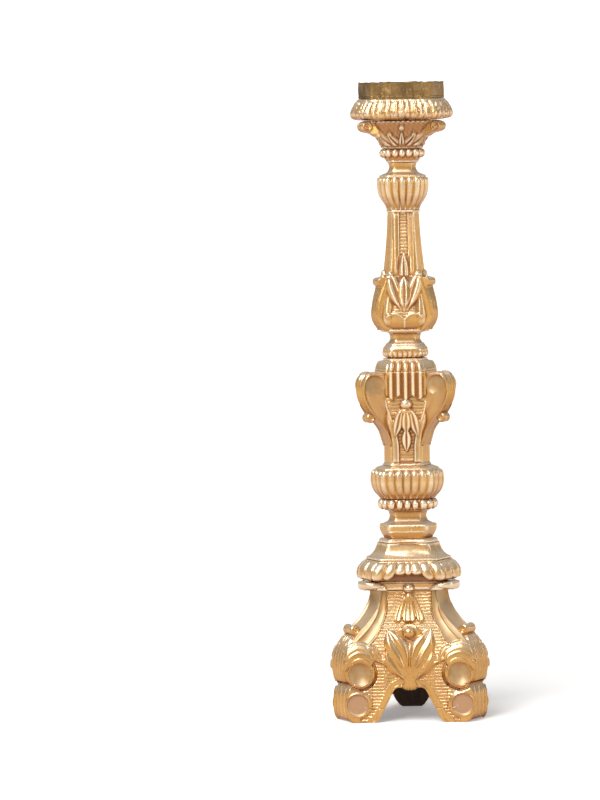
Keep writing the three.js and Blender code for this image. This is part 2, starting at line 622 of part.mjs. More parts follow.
// A capital volute's side view, from the capital's foot.
function voluteShape() {
  const middle = CAPITAL_HEIGHT - VOLUTE_RADIUS;
  const shape = new THREE.Shape([point(VOLUTE_SEAT, middle - VOLUTE_RADIUS)]);
  shape.lineTo(VOLUTE_REACH - 2 * VOLUTE_RADIUS, middle - VOLUTE_RADIUS);
  shape.absarc(VOLUTE_REACH - VOLUTE_RADIUS, middle, VOLUTE_RADIUS, -Math.PI * 0.75, Math.PI / 2, false);
  return shape.lineTo(VOLUTE_SEAT, CAPITAL_HEIGHT);
}

// The capital, with a leaf on each side between the volutes.
function capital() {
  const foot = CAPITAL_FOOT_WIDTH / 2;
  const top = CAPITAL_TOP_WIDTH / 2;
  const bell = [[foot + 5, 6], [foot + 9, 14], [foot + 14, 26], [top, CAPITAL_HEIGHT - 3]];
  const wall = wallOf([[foot, 0], ...bell, [top, CAPITAL_HEIGHT]]);
  const bract = leaf(faceOf(wall, smoothPlan), { height: CAPITAL_HEIGHT / 2, length: 30, width: 22 });
  const leaves = turnedTo(bract, boardAngles);
  const slot = housing(VOLUTE_SEAT, VOLUTE_WIDTH, CAPITAL_HEIGHT - 2 * VOLUTE_RADIUS, CAPITAL_HEIGHT + 1);
  const body = joined(solidOf(section(wall, smoothPlan)), leaves);
  return geometryOf(cut(body, [...turnedTo(slot, legAngles), ...blindBores(CAPITAL_HEIGHT)]));
}

// ---- Drip pan and tray ----
const trayFace = (TRAY_WIDTH / 2) * trayPlan[0].length(); // from the axis to the band's long sides
const plinthFace = trayFace - TRAY_WALL - GLUE;

// A flat plate in the tray's plan, with its long sides this far from the axis.
function trayPlate(face, height, hole = 0) {
  const ring = (far) => trayPlan.map((p) => p.clone().multiplyScalar(far / trayPlan[0].length()));
  const shape = new THREE.Shape(ring(face));
  if (hole) shape.holes.push(new THREE.Path(ring(hole).reverse()));
  return new THREE.ExtrudeGeometry(shape, { depth: height, bevelEnabled: false });
}

// A profile turned about Y and laid through the band's front side, with its end outermost.
function inBand(profile, x) {
  const made = new THREE.LatheGeometry(profile.map(([r, along]) => point(r, along)), 8).rotateX(Math.PI);
  return made.translate(x, NAIL_LENGTH - trayFace - GLUE, NAIL_HEIGHT);
}

function nail(x) {
  const shank = [[0, 0], [NAIL_RADIUS, 1], [NAIL_RADIUS, NAIL_LENGTH]];
  const end = NAIL_LENGTH + NAIL_HEAD_HEIGHT;
  const head = [[NAIL_HEAD_RADIUS, NAIL_LENGTH], [NAIL_HEAD_RADIUS * 0.7, end - 0.3], [0, end]];
  return inBand([...shank, ...head], x);
}

function nailHole(x) {
  const radius = NAIL_RADIUS + GLUE;
  return inBand([[0, -GLUE], [radius, -GLUE], [radius, NAIL_LENGTH + 5], [0, NAIL_LENGTH + 5]], x);
}

const nailPlaces = [-NAIL_SPREAD, NAIL_SPREAD];
const nailHoles = () => nailPlaces.flatMap((x) => turnedTo(nailHole(x), boardAngles));

// The pan's lappets hang round a block that stands up inside the band.
function dripPan() {
  const half = PAN_WIDTH / 2;
  const top = PAN_TOP_WIDTH / 2;
  const fringe = [[half - 7, 1], [half, 7], [half - 1, 13], [top + 3, PAN_HEIGHT * 0.68]];
  const rim = [[top, PAN_HEIGHT - 2], [top - 2, PAN_HEIGHT]];
  const wall = wallOf([[CAPITAL_TOP_WIDTH / 2 + 2, 0], ...fringe, ...rim]);
  const body = solidOf(section(wall, lobedPlan(PAN_LAPPETS), GADROON_DEPTH));
  const plinth = trayPlate(plinthFace, TRAY_PLINTH + 2).translate(0, 0, PAN_HEIGHT - 2);
  const holes = nailHoles().map((one) => one.translate(0, 0, footOf.tray_band - footOf.drip_pan));
  return geometryOf(cut(joined(body, [plinth]), [...holes, boreOf(-1, DOWEL_DEPTH)]));
}

function trayBand() {
  const band = trayPlate(trayFace, TRAY_HEIGHT, trayFace - TRAY_WALL);
  const lapped = [-trayFace - LAP_THICKNESS, -trayFace + TRAY_WALL / 2];
  const lap = boxOf([-LAP_WIDTH / 2, LAP_WIDTH / 2], lapped, [0, TRAY_HEIGHT]);
  return geometryOf(cut(joined(solidOf(band), [lap]), nailHoles()));
}

// ---- Assembly ----
const stand = new THREE.Group();
stand.position.y = axisY;

function place(name, geometry, material, z = 0, angle = 0) {
  const mesh = new THREE.Mesh(geometry, material.clone());
  mesh.name = name;
  mesh.position.z = z;
  mesh.rotation.z = angle;
  stand.add(mesh);
}

// One copy for each leg or board, named after it.
function placeRound(name, geometry, material, angles, z = 0) {
  for (const [side, angle] of Object.entries(angles)) {
    place(`${name}_${side}`, geometry, material, z, angle);
  }
}

place("base_core", core(), bareWood);
placeRound("leg", leg(), gilt, legAngles);
placeRound("leg_curl", legCurl(0), paleGilt, legAngles);
placeRound("board", board(), gilt, boardAngles);
placeRound("berry", berry(0), paleGilt, boardAngles);

const sections = {
  cornice_ledge: ledge(),
  cornice: cornice(),
  ogee_cap: ogeeCap(),
  plinth_block: plinthBlock(),
  bead_ring: beadRing(),
  lower_cup: lowerCup(),
  lower_shaft: lowerShaft(),
  lappet_collar: lappetCollar(),
  knop: knop(),
  vase: vase(),
  upper_shaft: upperShaft(),
  upper_cup: upperCup(),
  top_collar: topCollar(),
  capital: capital(),
  drip_pan: dripPan(),
};
for (const [name, geometry] of Object.entries(sections)) place(name, geometry, gilt, footOf[name]);
placeRound("ear", ear(), gilt, legAngles, footOf.lower_shaft);
placeRound("ear_curl", earCurl(0), paleGilt, legAngles, footOf.lower_shaft);
const vaseScroll = standUp(vaseScrollShape(), VASE_SCROLL_WIDTH, 5);
placeRound("vase_scroll", vaseScroll, paleGilt, legAngles, footOf.vase);
const volute = standUp(voluteShape(), VOLUTE_WIDTH, 8);
placeRound("capital_volute", volute, gilt, legAngles, footOf.capital);

place("tray_band", trayBand(), brass, footOf.tray_band);
const plateFoot = topOf.drip_pan + TRAY_PLINTH + GLUE;
place("tray_plate", trayPlate(plinthFace, PLATE_THICKNESS), brass, plateFoot);
nailPlaces.forEach((x, i) => {
  placeRound(`band_nail_${i + 1}`, nail(x), brass, boardAngles, footOf.tray_band);
});

// Each dowel runs from the top of one piece, through those above it, to the foot of another.
const dowels = [
  ["base_core", "plinth_block"],
  ["plinth_block", "lower_shaft"],
  ["lower_shaft", "vase"],
  ["vase", "upper_shaft"],
  ["upper_shaft", "capital"],
  ["capital", "drip_pan"],
];
dowels.forEach(([below, above], i) => {
  const low = topOf[below] - DOWEL_DEPTH + DOWEL_END_GAP;
  const tall = footOf[above] + DOWEL_DEPTH - DOWEL_END_GAP - low;
  const made = new THREE.CylinderGeometry(DOWEL_RADIUS, DOWEL_RADIUS, tall, 16);
  place(`dowel_${i + 1}`, made.rotateX(Math.PI / 2), bareWood, low + tall / 2);
});

export default stand;
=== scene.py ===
"""The looks of a three-sided torchere candle stand: carved and gilded wood, with a brass tray on top.

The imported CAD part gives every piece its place. The stem's sections are turned from their mouldings,
pressed to the stand's three-sided plan and then carved. The legs, boards and scrolls start as gridded
blocks that are bent to shape and carved in the same way. Sizes inside the carving are in millimetres,
measured from the stem's axis and from the foot of each piece.
"""

import math

import bmesh
import bpy
import numpy as np
from bpy.props import FloatProperty, FloatVectorProperty, IntProperty, PointerProperty
from bpy.types import Operator, Panel, PropertyGroup
from mathutils import Matrix, Vector


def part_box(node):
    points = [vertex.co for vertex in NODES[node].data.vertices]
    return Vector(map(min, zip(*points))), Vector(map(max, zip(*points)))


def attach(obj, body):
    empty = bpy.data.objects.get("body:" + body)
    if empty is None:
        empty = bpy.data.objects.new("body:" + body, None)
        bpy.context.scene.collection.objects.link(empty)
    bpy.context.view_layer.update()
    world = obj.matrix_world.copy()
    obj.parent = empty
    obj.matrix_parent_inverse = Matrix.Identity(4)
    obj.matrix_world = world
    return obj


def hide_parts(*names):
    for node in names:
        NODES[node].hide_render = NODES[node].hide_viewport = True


bl_info = {
    "name": "Torchere Candle Stand",
    "version": (1, 0, 0),
    "blender": (4, 5, 0),
    "location": "3D View > Sidebar > Candle Stand",
    "description": "Carves and gilds a three-sided torchere candle stand round its frame",
    "category": "Add Mesh",
}

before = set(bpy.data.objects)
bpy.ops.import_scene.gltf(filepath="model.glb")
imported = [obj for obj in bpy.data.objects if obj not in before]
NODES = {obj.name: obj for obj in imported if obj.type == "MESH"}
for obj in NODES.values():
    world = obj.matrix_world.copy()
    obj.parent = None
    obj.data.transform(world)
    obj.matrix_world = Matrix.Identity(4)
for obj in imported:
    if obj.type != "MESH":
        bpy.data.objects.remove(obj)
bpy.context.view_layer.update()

MM = 0.001
THIRD = 2 * math.pi / 3
CORNER = 0.34  # a corner's share of the stem's three-sided plan
PAN_CORNER = 0.30  # the same for the drip pan and the brass band
COARSE = 24  # steps that a blank is spun in before it is refined
BORE = 9.2  # radius of the dowel bore through a section
BASE_TOP = 187.0  # height of the boards and legs
SET_BACK = 2.5  # how deep the carving's ground lies in the flanks
KNOP_LOBES = 9
COLLAR_BEADS = 6
AXIS_Y = sum(corner.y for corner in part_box("dowel_1")) / 2
BOARD_TURNS = {"front": 0.0, "right": THIRD, "left": 2 * THIRD}
LEG_TURNS = {"front_right": -math.pi / 6, "back": math.pi / 2, "front_left": 7 * math.pi / 6}


# ---- Lines and shapes of relief ----


def smooth(low, high, x):
    """0 below low and 1 above high, with a soft step between them."""
    t = np.clip((x - low) / (high - low), 0, 1)
    return t * t * (3 - 2 * t)


def crest(x, width):
    """A smooth ridge, 1 high at 0, that is nearly gone at twice its width."""
    return np.exp(-((x / width) ** 2))


def hump(x):
    """A half-round section: 1 in the middle and 0 at -1 and 1."""
    return np.sqrt(np.clip(1 - x * x, 0, 1))


def repeated(x):
    """The place between two whole numbers, from -1 to 1."""
    return 2 * (x - np.floor(x)) - 1


def ridges(x):
    """Half-round ridges with sharp grooves at the whole numbers."""
    return hump(repeated(x))


def ball(x, z, radius):
    """The dome of a ball at 0, 0."""
    return hump(np.hypot(x, z) / radius)


def curved(points, pitch):
    """Points about pitch apart on a smooth line through the given points."""
    knots = np.array(points, float)
    ends = np.vstack([2 * knots[:1] - knots[1:2], knots, 2 * knots[-1:] - knots[-2:-1]])
    line = [knots[:1]]
    for k in range(len(knots) - 1):
        p0, p1, p2, p3 = ends[k : k + 4]
        count = max(1, round(np.linalg.norm(p2 - p1) / pitch))
        t = (np.arange(count) + 1)[:, None] / count
        bend = 2 * p0 - 5 * p1 + 4 * p2 - p3
        line.append(p1 + 0.5 * (t * (p2 - p0) + t**2 * bend + t**3 * (3 * p1 - p0 - 3 * p2 + p3)))
    return np.vstack(line)


def moulding(runs, pitch):
    """One line through several smooth runs that meet at corners."""
    return np.vstack([curved(run, pitch) for run in runs])


def chained(first, *others):
    """Runs of points in which each starts again at the last one's end."""
    runs = [first]
    for run in others:
        runs.append([runs[-1][-1], *run])
    return runs


def over(ground_height, *reliefs):
    """Lays raised carving over the ground, which shows wherever nothing is raised."""
    for raised in reliefs:
        ground_height = np.where(raised > 0.05, np.maximum(ground_height, raised), ground_height)
    return ground_height


def beside(line, x, z):
    """How far along a line, from 0 to 1, each point lies, and how far to the side of it."""
    line = np.asarray(line, float)
    steps = np.diff(line, axis=0)
    lengths = np.linalg.norm(steps, axis=1)
    starts = np.concatenate([[0], np.cumsum(lengths)])
    best = np.full(x.shape, 1e9)
    along = np.zeros(x.shape)
    side = np.zeros(x.shape)
    for (px, pz), (sx, sz), length, start in zip(line, steps, lengths, starts):
        t = np.clip(((x - px) * sx + (z - pz) * sz) / length**2, 0, 1)
        dx, dz = x - px - t * sx, z - pz - t * sz
        apart = np.hypot(dx, dz)
        near = apart < best
        best[near] = apart[near]
        along[near] = ((start + t * length) / starts[-1])[near]
        side[near] = (np.sign(sx * dz - sz * dx) * apart)[near]
    return along, side


def leaf(x, z, rib, width, height, folds=2, blunt=1.0, crease=0.3):
    """A plump carved leaf along rib, with folds along its length and a crease down its middle."""
    line = curved(rib, 2)
    low, high = line.min(0) - width / 2 - 1, line.max(0) + width / 2 + 1
    near = (x > low[0]) & (x < high[0]) & (z > low[1]) & (z < high[1])
    along, side = beside(line, x[near], z[near])
    span = width / 2 * np.sin(np.pi * np.clip(along, 0.04, 0.99) ** blunt) ** 0.75
    part = side / span
    body = hump(part) ** 0.7 * (0.4 + 0.6 * smooth(0, 0.2, along)) * (1 - 0.3 * smooth(0.7, 1, along))
    body *= 1 - crease * crest(part, 0.17)
    body *= 0.90 + 0.10 * np.cos(np.pi * folds * (np.abs(part) - 0.5)) if folds else 1
    raised = np.zeros(x.shape)
    raised[near] = height * np.where(np.abs(part) < 1, body, 0)
    return raised


# ---- Blanks: the shapes that the carving starts from ----


def spun(profile, steps, closed=False):
    """A bmesh turned once round the axis from a profile of radius and height."""
    blank = bmesh.new()
    verts = [blank.verts.new((x, 0, z)) for x, z in profile]
    edges = [blank.edges.new(pair) for pair in zip(verts, verts[1:] + verts[:closed])]
    whole_turn = {"cent": (0, 0, 0), "axis": (0, 0, 1), "angle": 2 * math.pi, "use_merge": True}
    bmesh.ops.spin(blank, geom=verts + edges, steps=steps, **whole_turn)
    return blank


def turned(profile, steps):
    """A blank turned from a closed profile of radius and height, in a multiple of COARSE steps."""
    blank = spun(profile, COARSE, closed=True)

    def is_hoop(edge):
        one, other = (vert.co.xy.normalized() for vert in edge.verts)
        return abs(one.cross(other)) > 0.01

    hoops = [edge for edge in blank.edges if is_hoop(edge)]
    bmesh.ops.subdivide_edges(blank, edges=hoops, cuts=steps // COARSE - 1, use_grid_fill=True)
    # the new points lie on straight chords, and go out to the round
    step = math.pi / COARSE
    for vert in blank.verts:
        turn = math.atan2(vert.co.y, vert.co.x) % (2 * step) - step
        vert.co.xy *= math.cos(turn) / math.cos(step)
    return blank


def domed(profile, steps):
    """A blank turned from an open profile that starts and ends on the axis."""
    blank = spun(profile, steps)
    bmesh.ops.remove_doubles(blank, verts=blank.verts, dist=1e-4)
    return blank


def brick(counts):
    """A gridded block from -1 to 1 with so many faces along each of its three directions."""
    blank = bmesh.new()
    bmesh.ops.create_cube(blank, size=2)
    for axis, count in enumerate(counts):
        across = [e for e in blank.edges if abs((e.verts[0].co - e.verts[1].co)[axis]) > 1e-6]
        bmesh.ops.subdivide_edges(blank, edges=across, cuts=count - 1, use_grid_fill=True)
    return blank


def faced(shape):
    """Turns all the faces of a shape outwards."""
    bmesh.ops.recalc_face_normals(shape, faces=shape.faces)
    if shape.calc_volume(signed=True) < 0:
        bmesh.ops.reverse_faces(shape, faces=shape.faces)


def made(blank):
    """The mesh of a blank, with its faces turned outwards."""
    faced(blank)
    mesh = bpy.data.meshes.new("blank")
    blank.to_mesh(mesh)
    blank.free()
    return mesh


def points(mesh):
    co = np.empty(len(mesh.vertices) * 3)
    mesh.vertices.foreach_get("co", co)
    return co.reshape(-1, 3)


def normals(mesh):
    no = np.empty(len(mesh.vertices) * 3, np.float32)
    mesh.vertex_normals.foreach_get("vector", no)
    return no.reshape(-1, 3).astype(float)


def moved(mesh, co):
    mesh.vertices.foreach_set("co", co.ravel())
    mesh.update()
    return mesh


def outwards(mesh):
    """Turns the faces outwards after a blank has been bent to its shape."""
    shape = bmesh.new()
    shape.from_mesh(mesh)
    faced(shape)
    shape.to_mesh(mesh)
    shape.free()
    return mesh


# ---- The three-sided plan ----


def facing(co):
    """The angle from the middle of the nearest long side, the place across it and the way out to it."""
    angle = np.arctan2(co[:, 1], co[:, 0]) + math.pi / 2
    phi = np.mod(angle + THIRD / 2, THIRD) - THIRD / 2
    reach = np.hypot(co[:, 0], co[:, 1])
    return phi, reach * np.sin(phi), reach * np.cos(phi)


def plan(phi, corner, crisp):
    """How far the plan's outline lies from the axis, for a half width of 1."""
    side = np.cos(phi) * math.sqrt(3) / (1 + corner)
    arris = np.cos(math.pi / 3 - np.abs(phi)) * math.sqrt(3) / (2 - corner)
    return (side**crisp + arris**crisp) ** (-1 / crisp)


def around(phi, corner, crisp):
    """The share of the way round from the middle of a long side, 0, to the middle of a corner, 1."""
    angles = np.linspace(0, math.pi / 3, 181)
    reach = plan(angles, corner, crisp)
    edge = np.stack([reach * np.cos(angles), reach * np.sin(angles)], axis=1)
    run = np.concatenate([[0], np.cumsum(np.linalg.norm(np.diff(edge, axis=0), axis=1))])
    return np.interp(np.abs(phi), angles, run / run[-1])


# ---- Finishing a piece ----


def edge_ends(mesh):
    """The numbers of the points at the two ends of every edge, as two lists."""
    ends = np.empty(len(mesh.edges) * 2, np.int32)
    mesh.edges.foreach_get("vertices", ends)
    return ends.reshape(-1, 2).T


def spread(mesh, values, rounds):
    """Evens values out over neighbouring points."""
    i, j = edge_ends(mesh)
    count = np.bincount(i, minlength=len(values)) + np.bincount(j, minlength=len(values)) + 1
    for _ in range(rounds):
        total = np.bincount(i, values[j], len(values)) + np.bincount(j, values[i], len(values))
        values = (values + total) / count
    return values


def ungilded(mesh, way):
    """Leaves the faces that look this way in bare wood."""
    faces = np.empty(len(mesh.polygons) * 3, np.float32)
    mesh.polygons.foreach_get("normal", faces)
    bare_faces = faces.reshape(-1, 3) @ np.array(way) > 0.6
    mesh.polygons.foreach_set("material_index", bare_faces.astype(np.int32))
    return mesh


def marked(mesh, **marks):
    """Writes a value for each point under each name, for the gilding to read."""
    for name, values in marks.items():
        layer = mesh.attributes.new(name, "FLOAT", "POINT")
        layer.data.foreach_set("value", np.asarray(values, np.float32))
    return mesh


def hollow_and_light_marks(mesh):
    """Writes where the carving is hollow, where it faces the floor and where it faces up: the gilding paints
    shade in hollows and on downward faces, and a highlight on upward faces.
    """
    co, no = points(mesh) / MM, normals(mesh)
    i, j = edge_ends(mesh)
    step = co[j] - co[i]
    size = np.maximum((step**2).sum(1), 0.04)
    bend_i = (step * no[i]).sum(1) / size
    bend_j = -(step * no[j]).sum(1) / size
    count = np.bincount(i, minlength=len(co)) + np.bincount(j, minlength=len(co))
    bend = (np.bincount(i, bend_i, len(co)) + np.bincount(j, bend_j, len(co))) / count
    bend = np.clip(bend, -0.6, 0.6)
    fine, broad = spread(mesh, bend, 1), spread(mesh, bend, 8)
    hollow = 0.5 + 0.5 * np.tanh(2.2 * fine + 7 * broad)
    # painted shade: how much each point faces the floor
    under = spread(mesh, smooth(0.05, 0.8, -no[:, 2]), 3)
    # painted highlight: how much each point faces up
    top = spread(mesh, smooth(0.08, 0.8, no[:, 2]), 2)
    marked(mesh, hollow=hollow, under=under, top=top)


def piece(name, mesh, finish_name, node):
    """Puts a finished mesh, in millimetres from the axis, into the scene in place of its CAD node."""
    mesh.name = name
    mesh.transform(Matrix.Translation((0, AXIS_Y, 0)) @ Matrix.Scale(MM, 4))
    mesh.update()
    mesh.polygons.foreach_set("use_smooth", [True] * len(mesh.polygons))
    if "hollow" not in mesh.attributes:
        hollow_and_light_marks(mesh)
    mesh.materials.append(finish(finish_name))
    mesh.materials.append(finish("bare wood"))
    thing = bpy.data.objects.new(f"carved_{name}" if name in NODES else name, mesh)
    bpy.context.scene.collection.objects.link(thing)
    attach(thing, "root")
    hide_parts(node)


def refinish(finish_name, *starts):
    """Gives the CAD nodes whose names start so a finish, and leaves their shape alone."""
    for name, thing in NODES.items():
        if name.startswith(starts):
            thing.data.materials.clear()
            thing.data.materials.append(finish(finish_name))


def rows(name, mesh, turns, finish_name, node):
    """One copy of a mesh for each turn about the axis, in place of node_TURN."""
    hollow_and_light_marks(mesh)
    for turn, angle in turns.items():
        copy = mesh.copy()
        copy.transform(Matrix.Rotation(angle, 4, "Z"))
        piece(f"{name}_{turn}", copy, finish_name, f"{node}_{turn}")


def section(node, runs, relief=None, corner=CORNER, crisp=22, pitch=1.0, shift=None, sink=None):
    """A stem section: turned, pressed to the plan, then carved by relief(phi, across, height).

    Before the carving, shift raises its outer skin, and sink lets it in towards the axis.
    """
    low, high = (corner_point.z / MM for corner_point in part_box(node))
    tall = high - low
    line = moulding(runs, pitch)
    bore = [(BORE, line[-1][1]), (BORE, line[0][1])]
    profile = [(x, min(max(z, 0), tall)) for x, z in line] + bore
    steps = 24 * max(2, round(2 * math.pi * line[:, 0].max() / pitch / 24))
    mesh = made(turned(profile, steps))
    co = points(mesh)
    phi = facing(co)[0]
    radius = np.hypot(co[:, 0], co[:, 1])
    bored = radius < BORE + 0.3
    co[:, :2] *= np.where(bored, 1, plan(phi, corner, crisp))[:, None]
    across = facing(co)[1]
    if shift:
        co[:, 2] += np.where(bored, 0, shift(radius, phi, across, co[:, 2]))
    if sink:
        inset = np.where(bored, 0, sink(radius, phi, across, co[:, 2]))
        co[:, :2] *= (1 - inset / np.maximum(np.hypot(co[:, 0], co[:, 1]), 1))[:, None]
    moved(mesh, co)
    if relief:
        no = normals(mesh)
        # a point on the rim moves straight out, so that the carving runs on into the next section
        flat = np.hypot(no[:, 0], no[:, 1])
        rim = ((co[:, 2] < 0.05) | (co[:, 2] > tall - 0.05)) & (flat > 0.3)
        no[rim] *= np.array([1, 1, 0]) / flat[rim, None]
        outward = (no[:, :2] * co[:, :2]).sum(1) / np.maximum(np.hypot(co[:, 0], co[:, 1]), 1)
        depth = relief(phi, facing(co)[1], co[:, 2]) * smooth(0.02, 0.3, outward)
        moved(mesh, co + no * depth[:, None])
    co = points(mesh)
    co[:, 2] = np.clip(co[:, 2], 0, tall) + low
    return moved(mesh, co)


def stem_piece(name, node, *given, **more):
    """Makes one section of the stem and puts it into the scene."""
    piece(name, section(node, *given, **more), "gilded wood", node)


# ---- Sizes and finishes a user may change ----


def size(name, default, description, **more):
    return FloatProperty(
        name=name, default=default, description=description, unit="LENGTH", min=0, precision=4, **more
    )


def colour(name, default, description):
    return FloatVectorProperty(
        name=name, default=default, description=description, subtype="COLOR", size=3, min=0, max=1
    )


class StandSizes(PropertyGroup):
    comb_pitch: size("Comb pitch", 0.0046, "From ridge to ridge on the combed ground of the base boards")
    rung_pitch: size("Rung pitch", 0.0052, "From rung to rung in the stem's sunk channels")
    lower_gadroons: IntProperty(
        name="Lower gadroons", default=9, description="Lobes on each third of the lower cup", min=3
    )
    upper_gadroons: IntProperty(
        name="Upper gadroons", default=7, description="Lobes on each third of the upper cup", min=3
    )
    beads: IntProperty(name="Beads", default=7, description="Beads on each third of the bead ring", min=3)
    cornice_gadroons: IntProperty(
        name="Cornice gadroons", default=9, description="Lobes on each third of the cornice", min=3
    )
    fringe: IntProperty(name="Fringe", default=15, description="Tongues on each third of the drip pan", min=3)
    leg_edge: size("Leg edge", 0.0178, "Half the width of a leg's outer face at its scrolls")
    disc_radius: size("Disc radius", 0.0178, "Radius of the upper scroll discs on the legs")


class StandFinishes(PropertyGroup):
    gold: colour("Gold", (0.60, 0.325, 0.09), "Burnished gold leaf")
    # pale gold also paints the highlight on faces that look up, and on the raised crests
    pale: colour("Pale gold", (0.97, 0.83, 0.62), "Gold on worn crests and edges")
    deep: colour("Deep gold", (0.36, 0.13, 0.024), "Gold where it lies in shade and under ledges")
    # bole also paints the shade in the hollows
    bole: colour("Bole", (0.20, 0.06, 0.016), "Red ground that shows in the hollows")
    # rubbed gold also paints shade, and the reflection of a dark room in bowls
    olive: colour("Rubbed gold", (0.36, 0.265, 0.13), "Leaf rubbed thin over the ground")
    # clay also paints the shade over the whole capital
    clay: colour("Clay", (0.42, 0.235, 0.125), "Flat discs where only the ground is left")
    gesso: colour("Gesso", (0.72, 0.50, 0.40), "White ground that shows where the edges are chipped")
    brass: colour("Brass", (0.30, 0.175, 0.062), "Tarnished brass of the tray")
    tarnish: colour("Tarnish", (0.075, 0.045, 0.022), "Dark tarnish on the brass")
    wood: colour("Bare wood", (0.085, 0.04, 0.018), "Wood that was never gilded")


class StageSettings(PropertyGroup):
    distance: FloatProperty(
        name="Camera distance", default=6.0, description="From the camera to the stand", unit="LENGTH"
    )
    height: FloatProperty(
        name="Camera height", default=0.95, description="From the floor to the camera", unit="LENGTH"
    )
    turn: FloatProperty(
        name="Camera turn", default=math.radians(1), description="How far the camera stands to the right",
        subtype="ANGLE",
    )
    pan: FloatProperty(
        name="Camera pan", default=math.radians(1.46), subtype="ANGLE",
        description="How far it looks to the left of the stand",
    )
    tilt: FloatProperty(
        name="Camera tilt", default=math.radians(4.67), description="How far it looks down", subtype="ANGLE"
    )
    roll: FloatProperty(
        name="Camera roll", default=math.radians(-1.04), subtype="ANGLE",
        description="Its turn about its own view",
    )
    focal: FloatProperty(
        name="Focal length", default=125.4, description="In millimetres, for a sensor 24 mm tall", min=1
    )


# ---- Materials ----


def node(tree, kind, settings=None, **inputs):
    """Adds a node. A value is a number, a colour or another node's output."""
    made_node = tree.nodes.new(kind)
    for key, value in (settings or {}).items():
        setattr(made_node, key, value)
    for key, value in inputs.items():
        numbered = key[0] == "i" and key[1:].isdigit()
        socket = made_node.inputs[int(key[1:]) if numbered else key]
        if isinstance(value, bpy.types.NodeSocket):
            tree.links.new(value, socket)
        else:
            socket.default_value = value
    return made_node


def maths(tree, operation, a, b=0.0, clamp=False):
    settings = {"operation": operation, "use_clamp": clamp}
    return node(tree, "ShaderNodeMath", settings, i0=a, i1=b).outputs[0]


def product(tree, a, b, clamp=False):
    return maths(tree, "MULTIPLY", a, b, clamp)


def added(tree, value, times, plus):
    """value * times + plus"""
    return node(tree, "ShaderNodeMath", {"operation": "MULTIPLY_ADD"}, i0=value, i1=times, i2=plus).outputs[0]


def ranged(tree, value, low, high, to_low=0.0, to_high=1.0):
    settings = {"interpolation_type": "SMOOTHSTEP"}
    made_node = node(tree, "ShaderNodeMapRange", settings, i0=value, i1=low, i2=high, i3=to_low, i4=to_high)
    return made_node.outputs[0]


def blended(tree, share, a, b, kind="MIX"):
    settings = {"data_type": "RGBA", "blend_type": kind}
    return node(tree, "ShaderNodeMix", settings, i0=share, i6=a, i7=b).outputs[2]


def noise(tree, where, scale, detail=3.0, rough=0.55):
    given = {"Vector": where, "Scale": scale, "Detail": detail, "Roughness": rough}
    return node(tree, "ShaderNodeTexNoise", None, **given).outputs[0]


def group(name, inputs, outputs):
    """A new node group with its sockets. Gives the group, its input node and its output node."""
    tree = bpy.data.node_groups.new(name, "ShaderNodeTree")
    for way, sockets in (("INPUT", inputs), ("OUTPUT", outputs)):
        for label, kind, default in sockets:
            socket = tree.interface.new_socket(label, in_out=way, socket_type=f"NodeSocket{kind}")
            if default is not None:
                socket.default_value = default
    return tree, tree.nodes.new("NodeGroupInput"), tree.nodes.new("NodeGroupOutput")


def wear_group():
    """Masks of age over a surface: blotches, rubbed patches, fine grain, chips, scratches and waves."""
    outputs = [(label, "Float", None) for label in ("Blotch", "Rubbed", "Grain", "Chips", "Scratch", "Waves")]
    tree, given, result = group("surface wear", [("Size", "Float", 1.0), ("Chipping", "Float", 0.0)], outputs)
    where = tree.nodes.new("ShaderNodeTexCoord").outputs["Object"]
    times = {"operation": "SCALE"}
    scaled = node(tree, "ShaderNodeVectorMath", times, i0=where, Scale=given.outputs[0]).outputs[0]
    blotch = noise(tree, scaled, 17.0, 4.0)
    patch = noise(tree, scaled, 62.0, 5.0, 0.62)
    grain = noise(tree, scaled, 420.0, 4.0, 0.6)
    chip = noise(tree, scaled, 155.0, 3.0, 0.5)
    edge = maths(tree, "SUBTRACT", 0.80, product(tree, given.outputs[1], 0.32))
    chips = ranged(tree, chip, edge, maths(tree, "ADD", edge, 0.03))
    long = node(tree, "ShaderNodeMapping", None, Vector=scaled, Scale=(1.0, 1.0, 0.16)).outputs[0]
    scratch = ranged(tree, noise(tree, long, 520.0, 2.0), 0.60, 0.72)
    waves = noise(tree, scaled, 75.0, 1.0)
    masks = (ranged(tree, blotch, 0.34, 0.66), ranged(tree, patch, 0.56, 0.70), grain, chips, scratch, waves)
    for socket, mask in zip(result.inputs, masks):
        tree.links.new(mask, socket)
    return tree


